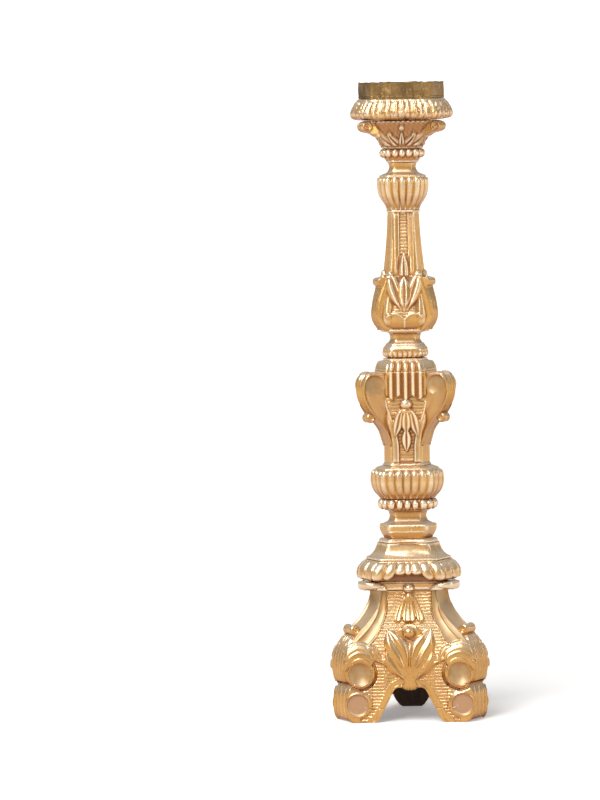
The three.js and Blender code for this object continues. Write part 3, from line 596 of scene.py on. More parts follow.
def gilding_group(wear):
    """Gold leaf over bole: its colour with painted shade and highlights, how rough it is, how much of it is
    metal, and its height.
    """
    inputs = [(label, "Color", None) for label in ("Gold", "Pale", "Deep", "Bole", "Olive", "Clay", "Gesso")]
    inputs += [("Chipping", "Float", 0.0), ("Dirt", "Float", 0.5)]
    outputs = [("Color", "Color", None)]
    outputs += [(label, "Float", None) for label in ("Roughness", "Metallic", "Height")]
    tree, given, result = group("aged gilding", inputs, outputs)
    gold, pale, deep, bole, olive, clay, gesso, chipping, dirt = given.outputs[:9]
    hollow, under, top, patina, flat = (
        node(tree, "ShaderNodeAttribute", {"attribute_name": name}).outputs["Fac"]
        for name in ("hollow", "under", "top", "patina", "clay")
    )
    worn = node(tree, "ShaderNodeGroup", {"node_tree": wear}, Chipping=chipping)
    blotch, rubbed, grain, chips, scratch, patchy = worn.outputs[:6]
    level = maths(tree, "ADD", hollow, added(tree, grain, 0.16, -0.08))
    raised = ranged(tree, level, 0.46, 0.18)
    recess = ranged(tree, level, 0.52, 0.78)
    tone = blended(tree, product(tree, blotch, 0.32), gold, deep)
    tone = blended(tree, product(tree, rubbed, 0.40), tone, olive)
    mottled = blended(tree, product(tree, ranged(tree, patchy, 0.42, 0.62), 0.55), olive, deep)
    # mottled olive from the olive mark: painted shade, and a painted reflection of a dark room in bowls
    tone = blended(tree, product(tree, patina, added(tree, grain, 0.5, 0.6)), tone, mottled)
    # clay colour: bare ground on the flat lower discs, and painted shade over the whole capital
    tone = blended(tree, product(tree, flat, 0.85), tone, clay)
    # pale on the raised crests: worn gilding that also stands in as a painted highlight
    tone = blended(tree, product(tree, raised, 0.70), tone, pale)
    # painted highlight: pale gold on faces that look up, less of it on the olive patches
    lit = product(tree, top, added(tree, patina, -0.5, 0.66))
    tone = blended(tree, lit, tone, pale)
    # painted shade: deep gold on faces that look down
    tone = blended(tree, product(tree, under, 0.86), tone, deep)
    # painted shade in the hollows: dark bole, with the red ground showing there too
    tone = blended(tree, product(tree, recess, dirt, True), tone, bole)
    tone = blended(tree, product(tree, scratch, 0.12), tone, bole)
    bare = product(tree, chips, ranged(tree, level, 0.66, 0.40))
    tone = blended(tree, bare, tone, gesso)
    dull = maths(tree, "MAXIMUM", recess, maths(tree, "MAXIMUM", patina, flat))
    rough = maths(tree, "ADD", added(tree, dull, 0.24, 0.25), product(tree, rubbed, 0.12))
    rough = maths(tree, "ADD", rough, product(tree, bare, 0.45), True)
    metal = maths(tree, "SUBTRACT", added(tree, dull, -0.36, 0.74), bare, True)
    height = maths(tree, "ADD", product(tree, grain, 0.03), product(tree, patchy, 0.3))
    height = maths(tree, "SUBTRACT", height, product(tree, bare, 0.4))
    for socket, value in zip(result.inputs, (tone, rough, metal, height)):
        tree.links.new(value, socket)
    return tree


def shader(name):
    """A new material and its Principled shader."""
    material = bpy.data.materials.new(name)
    material.use_nodes = True
    return material, material.node_tree, material.node_tree.nodes["Principled BSDF"]


def bumped(tree, principled, height, depth, strength=1.0):
    bump = node(tree, "ShaderNodeBump", None, Height=height, Distance=depth, Strength=strength)
    tree.links.new(bump.outputs[0], principled.inputs["Normal"])


def gilded(name, finishes, gilding, chipping, dirt, depth):
    material, tree, principled = shader(name)
    labels = ("Gold", "Pale", "Deep", "Bole", "Olive", "Clay", "Gesso")
    colours = {label: (*getattr(finishes, label.lower()), 1) for label in labels}
    leafed = node(tree, "ShaderNodeGroup", {"node_tree": gilding}, Chipping=chipping, Dirt=dirt, **colours)
    tree.links.new(leafed.outputs["Color"], principled.inputs["Base Color"])
    tree.links.new(leafed.outputs["Roughness"], principled.inputs["Roughness"])
    tree.links.new(leafed.outputs["Metallic"], principled.inputs["Metallic"])
    principled.inputs["Coat Weight"].default_value = 0.22
    principled.inputs["Coat Roughness"].default_value = 0.22
    bumped(tree, principled, leafed.outputs["Height"], depth)
    return material


def tarnished(finishes, wear):
    material, tree, principled = shader("tarnished brass")
    worn = node(tree, "ShaderNodeGroup", {"node_tree": wear}, Size=1.3)
    blotch, rubbed, grain, _, scratch = worn.outputs[:5]
    brass, tarnish = (*finishes.brass, 1), (*finishes.tarnish, 1)
    tone = blended(tree, product(tree, blotch, 0.75), brass, tarnish)
    tone = blended(tree, product(tree, rubbed, 0.6), tone, (0.50, 0.33, 0.13, 1))
    tone = blended(tree, product(tree, scratch, 0.35), tone, (0.50, 0.33, 0.14, 1))
    tree.links.new(tone, principled.inputs["Base Color"])
    tree.links.new(added(tree, blotch, 0.22, 0.32), principled.inputs["Roughness"])
    principled.inputs["Metallic"].default_value = 0.9
    bumped(tree, principled, maths(tree, "ADD", blotch, grain), 0.0006)
    return material


def bare(finishes, wear):
    material, tree, principled = shader("bare wood")
    worn = node(tree, "ShaderNodeGroup", {"node_tree": wear}, Size=1.0)
    where = tree.nodes.new("ShaderNodeTexCoord").outputs["Object"]
    long = node(tree, "ShaderNodeMapping", None, Vector=where, Scale=(1.0, 1.0, 0.07)).outputs[0]
    grain = noise(tree, long, 330.0, 4.0)
    wood = (*finishes.wood, 1)
    dark = tuple(0.45 * c for c in finishes.wood) + (1,)
    tone = blended(tree, ranged(tree, grain, 0.35, 0.65), dark, wood)
    tone = blended(tree, product(tree, worn.outputs["Blotch"], 0.4), tone, dark)
    tree.links.new(tone, principled.inputs["Base Color"])
    principled.inputs["Roughness"].default_value = 0.78
    bumped(tree, principled, grain, 0.0005)
    return material


def finish(name):
    """A finish by name. All of them are mixed the first time that one is asked for."""
    if name not in bpy.data.materials:
        finishes = bpy.context.scene.stand_finishes
        wear = wear_group()
        gilding = gilding_group(wear)
        gilded("gilded wood", finishes, gilding, 0.30, 0.80, 0.0007)
        gilded("burnished gold", finishes, gilding, 0.20, 0.60, 0.0004)
        gilded("worn gilding", finishes, gilding, 0.62, 0.80, 0.0009)
        tarnished(finishes, wear)
        bare(finishes, wear)
    return bpy.data.materials[name]


# ---- Base ----

# Side view of a leg: a point on its outer face and the point behind it on its inner side.
LEG_PAIRS = [
    ((101, 0), (79, 0)), ((109, 3), (74.6, 5)), ((114, 11), (71, 13)), ((115.6, 24), (68, 21)),
    ((114.6, 40), (63.5, 31)), ((110, 50), (60, 40)), ((107, 54.0), (57, 46)), ((102.5, 55.6), (52, 50)),
    ((106.5, 57), (47, 53)), ((112, 59.8), (42, 55)), ((115, 66), (38, 59)), ((116, 78), (35, 68)),
    ((114.4, 91), (34.3, 84)), ((110, 104), (34.3, 100)), ((104, 115), (34.3, 112)),
    ((97, 124), (34.3, 122)), ((88, 133), (34.3, 132)), ((78, 141), (34.3, 141)),
    ((70.5, 149), (34.3, 150)), ((63.5, 158), (34.3, 160)), ((58, 168), (34.3, 170)),
    ((55, 178), (34.3, 179)), ((54.3, 187), (34.3, 187)),
]


def flank(z):
    """From the axis to the plane of the boards and the legs' flanks at a height."""
    outer = curved([pair[0] for pair in LEG_PAIRS if pair[0][1] > 76], 2)
    edge = bpy.context.scene.stand_sizes.leg_edge / MM
    return np.interp(z, outer[:, 1], outer[:, 0]) / 2 + 0.866 * edge - 0.5


def board_half(z):
    heights = [106, 112, 120, 130, 140, 148, 154, 187]
    halves = [53, 52.4, 49.5, 43.5, 37, 33, 31, 29]
    return np.interp(z, heights, halves)


ARCH = [
    (0, 51), (14, 52), (17, 52), (21, 50), (24.5, 44.5), (28, 37), (32.5, 28), (36.6, 20.5), (40, 14),
    (43.5, 8), (48, 3), (54, -2),
]


def arch(s):
    """The lower edge of a board, this far from its middle."""
    places, heights = zip(*ARCH)
    return np.maximum(np.interp(np.abs(s), places, heights), 20)


DISC = (71.2, 70.4)
LOW_DISC = (75, 26)


def combed(s, z, pitch):
    """Ground that was combed across with a tool, 0 to 1 high."""
    wobble = 0.6 * np.sin(0.07 * s + 0.7) + 0.2 * np.sin(0.21 * s - 0.05 * z)
    return ridges((z + wobble) / pitch)


def border_inner(z):
    """From a board's middle to the inner edge of its scroll border."""
    heights = [110, 118, 126, 134, 142, 150, 159, 172, 187]
    return np.interp(z, heights, [58, 50, 43.5, 39, 36, 33, 31.3, 31, 31])


def ground(s, z):
    """The height of a board's face and its flanks: combed ground between smooth raised borders."""
    sizes = bpy.context.scene.stand_sizes
    a = np.abs(s)
    depth = 2.3 * combed(s, z, sizes.comb_pitch / MM)
    # the smooth scroll border, which widens down to the knee
    width = np.interp(z, [110, 126, 142, 159, 187], [27, 23.5, 17, 13, 12])
    part = (a - border_inner(z)) / width
    cove = 3.6 * hump(2 * np.clip(part, 0.08, 1.0) - 1.08) * smooth(104, 116, z)
    border = smooth(-0.03, 0.07, part) * (4.8 - cove)
    border += 1.2 * crest(part - 0.09, 0.07) + 1.0 * crest(part - 0.93, 0.07)
    on_border = (z > 100) & (part > -0.03)
    depth = np.where(on_border, np.maximum(border * smooth(104, 110, z), depth * (part < 0.02)), depth)
    # the smooth band round the arch, and the fillet under the ledge
    _, off = beside(curved(ARCH, 2), a, z)
    near = np.abs(off)
    depth = np.where(near < 9.5, 2.6 - 0.9 * hump((near - 4.6) / 3.6), depth)
    depth = np.where((z > 183.6) & (a < 32), 2.4 * hump((z - 185.6) / 2.2), depth)
    return depth


def spray(s, z):
    """The acanthus spray, the bellflower and the lower bud on a board."""
    a = np.abs(s)
    wide = np.interp(z, [48, 53, 60, 72, 90, 112], [13, 11.5, 9, 8, 6, 3])
    stem = hump(a / wide) ** 0.8 * (1 - smooth(104, 114, z)) * smooth(49, 51, z)
    depth = 6.6 * stem * (1 - 0.22 * crest(a, 1.3) - 0.12 * crest(a - 4.8, 1.0))
    upright = leaf(a, z, [(4, 70), (8.5, 88), (15, 103), (23, 115), (31, 130)], 35, 9.2, 2, 1.3, 0.12)
    side = leaf(a, z, [(4, 58), (11, 73), (19, 86), (27, 96), (31, 106)], 32, 8.0, 3, 1.3, 0.14)
    low_side = leaf(a, z, [(6, 60), (13, 73), (23, 82), (36, 88), (50, 91)], 16, 6.2, 2, 0.8, 0.12)
    depth = np.maximum.reduce([depth, upright, side, low_side])
    half = np.interp(z, [138, 141, 149, 157, 172, 178], [24, 23.4, 21.5, 18.5, 12, 7])
    foot = 140 + 6.5 * crest(a - 10.5, 1.8) + 2.5 * smooth(17, 24, a)
    share = a / half
    veins = 1.8 * crest(share - 0.45, 0.06) + 0.6 * crest(share - 0.72, 0.05)
    veins += 0.6 * crest(share - 0.15, 0.05)
    bell = (7.0 - veins) * smooth(half + 0.2, half - 1.8, a)
    bell = bell * smooth(foot - 0.2, foot + 1.6, z) * smooth(181, 176, z)
    calyx = 6.8 * hump(np.hypot(a / 11.5, (z - 172) / 9))
    bud = np.maximum(8.8 * ball(a, z - 177.0, 7.6), 11 * hump(np.hypot(a / 9.2, (z - 189.5) / 8.8)))
    return np.maximum.reduce([depth, bell, calyx, bud])


def scrolls(s, z):
    """The scrolled ends of a leg's flank: two dished discs, and the leaf that curls over the upper one."""
    sizes = bpy.context.scene.stand_sizes
    a = np.abs(s)
    radius = sizes.disc_radius / MM
    dx, dz = a - DISC[0], z - DISC[1]
    out, turn = np.hypot(dx, dz), np.degrees(np.arctan2(dz, dx))
    # the upper roll with its bowl
    roll = 5.0 * hump(np.clip((out - radius) / 4.6, 0, 1)) ** 0.7
    bowl = 5.0 - 5.4 * (1 - (out / (radius - 1.6)) ** 2)
    upper = np.where(out < radius - 1.6, bowl, np.where(out < radius + 4.6, roll, 0))
    upper += 1.7 * crest(out - radius + 0.5, 0.9)
    # the lower roll with its flat, ringed disc
    low = np.hypot(a - LOW_DISC[0], z - LOW_DISC[1])
    lower = np.where(low < 21, 4.4 * hump(np.clip((low - 17) / 4, 0, 1)) ** 0.7, 0)
    lower += 1.3 * crest(low - 16.3, 1.0) - 1.7 * smooth(15.6, 14.4, low)
    outer = 4.4 * smooth(-1, 1, dx) * (z < 92)
    depth = np.where((out < radius + 4.6) & (z > 40), upper, np.maximum(lower, np.where(low > 17, outer, 0)))
    # the slit between them, which runs in from the notch
    slit = crest(out - radius - 5.6, 1.7) * smooth(6, -8, dz) * smooth(-32, -22, dx)
    depth -= 4.6 * slit
    # the leaf over the upper scroll
    edge = np.interp(turn, [0, 20, 40, 60, 84, 102, 119, 132, 142], [23, 29, 36, 44, 48, 45, 42, 36, 26])
    low_edge = radius + 2.4 - 1.6 * smooth(10, 50, turn)
    part = (out - low_edge) / np.maximum(edge - low_edge, 0.1)
    inside = (part > 0) & (part < 1) & (turn > 4) & (turn < 142)
    groove = np.mod(3.0 * part + 0.15 * np.sin(turn / 25), 1) - 0.5
    fold = 1 - 0.19 * crest(groove, 0.10) * smooth(0.05, 0.2, part)
    shape = np.where(part < 0.4, 0.84 + 0.16 * np.sin(math.pi * part / 0.8), hump((part - 0.4) / 0.6) ** 0.7)
    curl = 8.2 * shape * fold * smooth(4, 16, turn)
    tip = leaf(a, z, [(66, 108), (56, 104), (48, 95), (39, 85.5)], 18, 7.4, 2, 0.75, 0.15)
    return over(depth, np.where(inside, curl, 0), tip)


def face_relief(s, z):
    """All the carving on a board's face and on the flanks beside it."""
    depth = ground(s, z)
    scroll = scrolls(s, z)
    near = np.hypot(np.abs(s) - DISC[0], z - DISC[1]) < bpy.context.scene.stand_sizes.disc_radius / MM + 7
    smooth_part = near | (np.hypot(np.abs(s) - LOW_DISC[0], z - LOW_DISC[1]) < 21) | (np.abs(s) > DISC[0])
    depth = np.where(smooth_part & (z < 96), scroll, over(depth, scroll))
    return over(depth, spray(s, z))


def stains_and_shade(s, z):
    """Where the base's leaf is darkened to olive: on the scroll border, and as a painted reflection of a dark
    room in the upper disc's bowl. And where only the clay ground is left, on the flat lower disc.
    """
    a = np.abs(s)
    band = smooth(1.5, 4, a - border_inner(z)) * smooth(110, 120, z)
    bowl = smooth(16.6, 14.6, np.hypot(a - DISC[0], z - DISC[1]))
    flat = smooth(15.8, 14.6, np.hypot(a - LOW_DISC[0], z - LOW_DISC[1]))
    return {"patina": np.maximum(0.75 * band, 0.85 * bowl), "clay": flat}


def board_mesh():
    """One base board, bent to the flanks and carved on its face, for the front side."""
    mesh = made(brick((130, 1, 190)))
    co = points(mesh)
    u, back, v = co.T
    foot = arch(u * 53)
    z = foot + (BASE_TOP - foot) * (v + 1) / 2
    s = u * (board_half(z) + 0.26)
    face = flank(z) - SET_BACK
    moved(mesh, np.stack([s, -face + 13 * (back > 0), z], axis=1))
    outwards(mesh)
    co, no = points(mesh), normals(mesh)
    hole = np.hypot(s, z - 127.5) < 12.6
    depth = np.where(hole, 0, face_relief(s, z)) * (back < 0)
    no[:, 0] = 0
    no /= np.linalg.norm(no, axis=1)[:, None]
    co += no * depth[:, None]
    co[:, 2] = np.minimum(co[:, 2], BASE_TOP)
    return ungilded(marked(moved(mesh, co), **stains_and_shade(s, z)), (0, 1, 0))


def leg_mesh(pinched=False):
    """One leg along +X, its flanks and its outer face carved, with a narrow foot if it is pinched."""
    mesh = made(brick((60, 34, 250)))
    b_in, b_side, b_up = points(mesh).T
    pairs = curved([(*outer, *inner) for outer, inner in LEG_PAIRS], 1.0)
    run = np.concatenate([[0], np.cumsum(np.linalg.norm(np.diff(pairs[:, :2], axis=0), axis=1))])
    spot = (b_up + 1) / 2 * run[-1]
    ox, oz, ix, iz = (np.interp(spot, run, column) for column in pairs.T)
    # the line behind the board, and the visible part of the flank in front of it
    share = (b_in + 1) / 2
    hidden = 0.134
    d = flank(oz)
    edge_s = board_half(oz) + 0.3
    edge_x = np.clip(0.866 * edge_s + 0.5 * d, ix + 0.5, ox - 0.5)
    boarded = (oz > 59) | ((oz > 22) & (ix < 70))
    cut = np.where(boarded, np.clip((edge_x - ix) / (ox - ix), 0.02, 0.98), hidden)
    part = np.where(share < hidden, share / hidden * cut, cut + (share - hidden) / (1 - hidden) * (1 - cut))
    x, z = ix + (ox - ix) * part, iz + (oz - iz) * part
    d = flank(z)
    wide = (d - 0.5 * x) / 0.866
    wide = np.where((share < hidden - 0.005) & boarded, wide - 18.5, wide)
    y = np.maximum(wide, 4)
    if pinched:
        y = np.minimum(y, np.interp(z, [0, 3, 12, 26, 45, 60], [14, 18, 24, 29, 41, 80]))
    y *= b_side
    moved(mesh, np.stack([x, y, z], axis=1))
    outwards(mesh)
    co, no = points(mesh), normals(mesh)
    side = (np.abs(b_side) > 0.999) & (share > hidden - 0.005)
    face = (b_in > 0.999) & (np.abs(b_side) < 0.999)
    s = x * 0.866 - np.abs(y) * 0.5
    depth = np.where(side, face_relief(s, z) - SET_BACK, 0)
    depth = np.where(face, palmette(y / np.maximum(wide, 1), y, z), depth)
    # a flank point moves square to the flank, and a point on the arris moves with both faces
    square = np.stack([np.full(len(x), 0.5), 0.866 * np.sign(y), np.zeros(len(x))], axis=1)
    way = np.where((side & (b_in < 0.98))[:, None], square, no)
    co += way * depth[:, None]
    co[:, 2] = np.clip(co[:, 2], 0, BASE_TOP)
    marks = stains_and_shade(s, z)
    # painted shade: darker olive in the hollow of the outer face above the knee
    marks["patina"] = np.where(face, 0.5 * smooth(126, 140, z), marks["patina"])
    marks["clay"] = np.where(side, marks["clay"], 0)
    return ungilded(marked(moved(mesh, co), **marks), (-1, 0, 0))


def palmette(part, y, z):
    """The outer face of a leg: a hollow above the knee, a palmette over the scroll, a fluted foot."""
    a = np.abs(part)
    hollow = (1.6 * smooth(0.80, 0.95, a) - 2.6 * (1 - a**2)) * smooth(128, 140, z)
    # ribs spread from the foot of the palmette up to the knee
    edge = np.interp(z, [57, 64, 80, 100, 118, 130], [0.70, 0.84, 1.1, 1.1, 0.9, 0.3])
    shape = smooth(57.5, 62, z) * (1 - smooth(119, 129, z))
    ribs = ridges(part / edge * 2.5 + 0.5) ** 0.8
    leafed = shape * (1.6 + 2.8 * ribs) * smooth(edge + 0.04, edge - 0.06, a)
    flutes = 3.0 * (ridges(part * 1.5 + 0.5) ** 0.8 - 1) * smooth(4, 10, z) * (1 - smooth(43, 51, z))
    chips = -0.9 * np.clip(np.sin(1.9 * y + 0.6 * z) + np.sin(0.9 * z - 1.3 * y), 0, 2) * smooth(11, 4, z)
    return np.where(z > 56, hollow + leafed, flutes * (a < 0.93) + chips)


def knob(radius, half, reach, height, steps=28):
    """A little scroll end across a corner piece: a rolled bar with a navel at each end."""
    r, h = radius, half
    line = moulding(
        [[(0, -h + 2.6), (r * 0.22, -h + 1.4), (r * 0.42, -h + 1.9)],
         [(r * 0.42, -h + 1.9), (r * 0.62, -h + 0.2), (r * 0.9, -h + 1.5), (r, -h + 4), (r * 0.9, 0),
          (r, h - 4), (r * 0.9, h - 1.5), (r * 0.62, h - 0.2), (r * 0.42, h - 1.9)],
         [(r * 0.42, h - 1.9), (r * 0.22, h - 1.4), (0, h - 2.6)]], 0.8)
    mesh = made(domed(line, steps))
    co = points(mesh)
    co = np.stack([co[:, 0] + reach, co[:, 2], co[:, 1] + height], axis=1)
    return outwards(moved(mesh, co))


class STAND_OT_boards(Operator):
    """Carves the three base boards: combed ground, acanthus spray, bellflower and buds"""

    bl_idname = "stand.boards"
    bl_label = "Base Boards"

    def execute(self, context):
        rows("carved_board", board_mesh(), BOARD_TURNS, "gilded wood", "board")
        return {"FINISHED"}


class STAND_OT_berries(Operator):
    """Turns the large berry in the middle of each base board"""

    bl_idname = "stand.berries"
    bl_label = "Berries"

    def execute(self, context):
        line = curved([(0, -2), (9, -1), (12.6, 1.0), (13.0, 2.4), (12.2, 3.8), (8, 4.4), (0, 4.6)], 0.6)
        mesh = made(domed(line, 60))
        co = points(mesh)
        x, z, out = co.T.copy()
        # the calyx: as wide as two wings, and drawn down to a tip
        turn = np.degrees(np.abs(np.arctan2(x, z)))
        edge = np.interp(turn, [0, 50, 76, 98, 125, 152, 180], [9.6, 12, 17.6, 16.6, 12.6, 11, 15])
        x, z = x * edge / 13, z * edge / 13
        front = out > 1.8
        # the ball in front of it, and the seam between them
        off = np.hypot(x, z - 1.2)
        out += front * (3.6 + 7.4 * ball(x, z - 1.2, 8.4) - 1.8 * crest(off - 9.0, 0.9))
        face = float(flank(128.0)) - SET_BACK
        moved(mesh, np.stack([x, -face - out + 0.5, z + 127.4], axis=1))
        rows("berry", outwards(mesh), BOARD_TURNS, "burnished gold", "berry")
        return {"FINISHED"}


class STAND_OT_legs(Operator):
    """Carves the three scrolled legs, with discs on their flanks and a palmette on the outer face"""

    bl_idname = "stand.legs"
    bl_label = "Legs"

    def execute(self, context):
        front = {turn: angle for turn, angle in LEG_TURNS.items() if turn != "back"}
        back = {"back": LEG_TURNS["back"]}
        rows("scrolled_leg", leg_mesh(), front, "gilded wood", "leg")
        rows("scrolled_leg", leg_mesh(pinched=True), back, "gilded wood", "leg")
        return {"FINISHED"}


class STAND_OT_leg_curls(Operator):
    """Turns the knob at each leg's knee"""

    bl_idname = "stand.leg_curls"
    bl_label = "Knee Curls"

    def execute(self, context):
        mesh = knob(7.8, 13.5, 96, 131.5)
        rows("knee_curl", mesh, LEG_TURNS, "burnished gold", "leg_curl")
        return {"FINISHED"}


# ---- Stem ----


def lobe_place(phi, count, crisp):
    """The place across a lobe, -1 to 1, for count lobes to a third, one on the middle of each long side."""
    return repeated(around(phi, CORNER, crisp) * count / 2 + 0.5)


class STAND_OT_ledge(Operator):
    """Carves the ledge that covers the top of the base"""

    bl_idname = "stand.ledge"
    bl_label = "Ledge"

    def execute(self, context):
        runs = chained(
            [(30, 0), (60, 0)], [(66, 1.2), (71, 3.6)], [(72.4, 6.5), (71, 9.5)], [(68, 10.6), (66, 12)],
            [(30, 12)],
        )

        def sink(radius, phi, across, z):
            # between its corners the ledge is let in to a frieze over the board
            out = radius * plan(phi, CORNER, 22) * np.cos(phi)
            share = np.clip((out - 38.7) / 17.3, 0, 1)
            let_in = out - 38.7 - 6.1 * (1 - (1 - share) ** 2.5)
            return np.where(out > 38.7, let_in, 0) / np.cos(phi) * smooth(61, 55, np.abs(across))

        def relief(phi, across, z):
            a = np.abs(across)
            _, off = beside([(34.5, -7), (35.5, -1), (39.5, 3.5), (46, 6.2), (55, 7.6), (66, 8)], a, z)
            tall = np.interp(a, [30, 40, 50, 57], [3.6, 6, 9.5, 11.5])
            hook = tall * hump(off / 5.2) ** 0.6 * (a > 28) * smooth(64, 60, a)
            bud = 11 * hump(np.hypot(across / 9.2, (z - 2.2) / 8.8)) - 5.2
            return over(0 * a, hook, bud)

        stem_piece("ledge", "cornice_ledge", runs, relief, sink=sink)
        return {"FINISHED"}


class STAND_OT_cornice(Operator):
    """Carves the gadrooned cornice, its lower edge arched over each board"""

    bl_idname = "stand.cornice"
    bl_label = "Cornice"

    def execute(self, context):
        runs = chained(
            [(40, 0), (57, 0)], [(59, 0.2), (66, 0.4)],
            [(72.5, 1.4), (76.5, 5), (77, 11), (75.5, 17), (71.5, 23), (66, 28)], [(65, 29.7)],
            [(40, 29.7)],
        )
        count = context.scene.stand_sizes.cornice_gadroons

        def lobe(phi, z):
            share = around(phi, CORNER, 22)
            share = share - 0.075 * np.sin(np.pi * share) * (0.3 - z / 28)
            spot = share**0.82 * count / 2 + 0.5
            return repeated(spot)

        def lift(across):
            """The cornice's lower edge is raised over the middle of each board."""
            return 7.6 * smooth(32, 16, np.abs(across)) + 1.6 * smooth(64, 34, np.abs(across))

        def shift(radius, phi, across, z):
            scallop = 1.8 * (1 - hump(lobe(phi, z))) * smooth(12, 2, z) * smooth(60, 66, radius)
            return (lift(across) + scallop) * smooth(24, 0, z) * smooth(57.1, 58.6, radius)

        def relief(phi, across, z):
            shape = hump(lobe(phi, z)) ** 0.85
            deep = 4.4 - 1.4 * smooth(24, 10, np.abs(across))
            foot = lift(across)
            return deep * (shape - 0.65) * smooth(foot + 0.6, foot + 4, z) * (1 - smooth(25, 29, z))

        stem_piece("cornice", "cornice", runs, relief, shift=shift)
        return {"FINISHED"}


class STAND_OT_ogee_cap(Operator):
    """Turns the smooth hollow cap over the cornice"""

    bl_idname = "stand.ogee_cap"
    bl_label = "Ogee Cap"

    def execute(self, context):
        runs = chained(
            [(40, 0), (62, 0)], [(63, 1.5), (62.2, 3.4)], [(57, 5.5), (51, 11.5), (47.5, 18), (45.6, 23)],
            [(43.4, 24)], [(43.6, 26.5), (41.5, 29)], [(38, 30), (30, 30)],
        )

        def relief(phi, across, z):
            return 0.35 * np.sin(0.11 * across + 0.2 * z) * smooth(4, 9, z)

        stem_piece("ogee_cap", "ogee_cap", runs, relief, crisp=30)
        return {"FINISHED"}


class STAND_OT_plinth_block(Operator):
    """Turns the flared block and the waisted neck above it"""

    bl_idname = "stand.plinth_block"
    bl_label = "Plinth Block"

    def execute(self, context):
        runs = chained(
            [(20, 0), (35.5, 0)], [(37.5, 3), (41.3, 10)], [(42.2, 14), (42, 18.4)], [(41, 20), (36, 21)],
            [(30, 24), (27.4, 29), (27.4, 33), (29, 37.5), (32.5, 40)], [(15, 40)],
        )
        stem_piece("plinth_block", "plinth_block", runs, None, crisp=34)
        return {"FINISHED"}


class STAND_OT_bead_ring(Operator):
    """Carves the row of beads under the lower cup"""

    bl_idname = "stand.bead_ring"
    bl_label = "Bead Ring"

    def execute(self, context):
        count = context.scene.stand_sizes.beads
        runs = chained(
            [(25, 0), (35, 0)], [(39.5, 2.5), (41, 8.5), (39.5, 14.5), (37, 17)], [(25, 17)],
        )

        def relief(phi, across, z):
            x = lobe_place(phi, count, 16)
            return 5.6 * hump(np.hypot(x / 0.92, (z - 8.6) / 7.2)) - 0.4

        stem_piece("bead_ring", "bead_ring", runs, relief, crisp=16, pitch=0.75)
        return {"FINISHED"}


def gadrooned(name, count, runs, top, foot):
    """A cup carved with gadroons that swell from its foot and close in rounded ends below its lip."""

    def relief(phi, across, z):
        x = lobe_place(phi, count, 18)
        reach = np.clip((z - top + 7) / 7, 0, 1)
        lobe = hump(np.hypot(x, reach))
        dart = 1.2 * hump(np.clip(np.abs(x) - 1, -0.3, 0) / 0.3) * smooth(foot + 12, foot + 2, z)
        return (3.4 * lobe - 2.4) * smooth(0, foot + 6, z) * (1 - smooth(top - 1, top + 1.5, z)) + dart

    stem_piece(name, name, runs, relief, crisp=18)


class STAND_OT_cups(Operator):
    """Carves the two gadrooned cups"""

    bl_idname = "stand.cups"
    bl_label = "Gadrooned Cups"

    def execute(self, context):
        sizes = context.scene.stand_sizes
        lower = chained(
            [(25, 0), (41, 0)],
            [(44.5, 4), (50.5, 12), (53.8, 21), (54.2, 29), (53.4, 36), (50, 42), (44, 45.2)],
            [(40, 46.2), (38.5, 47)], [(25, 47)],
        )
        gadrooned("lower_cup", sizes.lower_gadroons, lower, 42.5, 3)
        upper = chained(
            [(14, 0), (23.5, 0)], [(25.6, 6), (30.5, 13), (35.2, 21), (37.6, 30),
             (38.3, 40), (37.6, 46), (34.5, 49.6), (31, 50.6)], [(29, 52)], [(14, 52)],
        )
        gadrooned("upper_cup", sizes.upper_gadroons, upper, 48, 3)
        return {"FINISHED"}


def channel(across, z, half, low, high, pitch, depth=2.2):
    """A sunk channel with rungs across it, between two low fillets."""
    a = np.abs(across)
    inside = smooth(half + 0.5, half - 0.4, a)
    inside = inside * smooth(low - 1, low + 1, z) * (1 - smooth(high - 1, high + 1, z))
    rung = 1.5 * ridges(z / pitch)
    lip = 1.0 * crest(a - half - 1.6, 1.3) * (z > low) * (z < high + 3)
    return inside * (rung - depth) + lip * (1 - inside)


def lappets(across):
    """Three broad lappets side by side, folded lengthwise."""
    a = np.abs(across)
    fold = 1.0 + 4.4 * (0.5 + 0.5 * np.cos(2 * np.pi * a / 10.6)) ** 0.7
    return fold * smooth(29.5, 27.5, a)


def lappet_foot(across):
    """The zigzag lower edge of the lappets."""
    spot = np.abs(across) / 18.6 + 0.5
    x = np.abs(repeated(spot))
    return np.where(np.abs(across) < 28.5, 95.5 + 6.5 * x**1.3, 200)


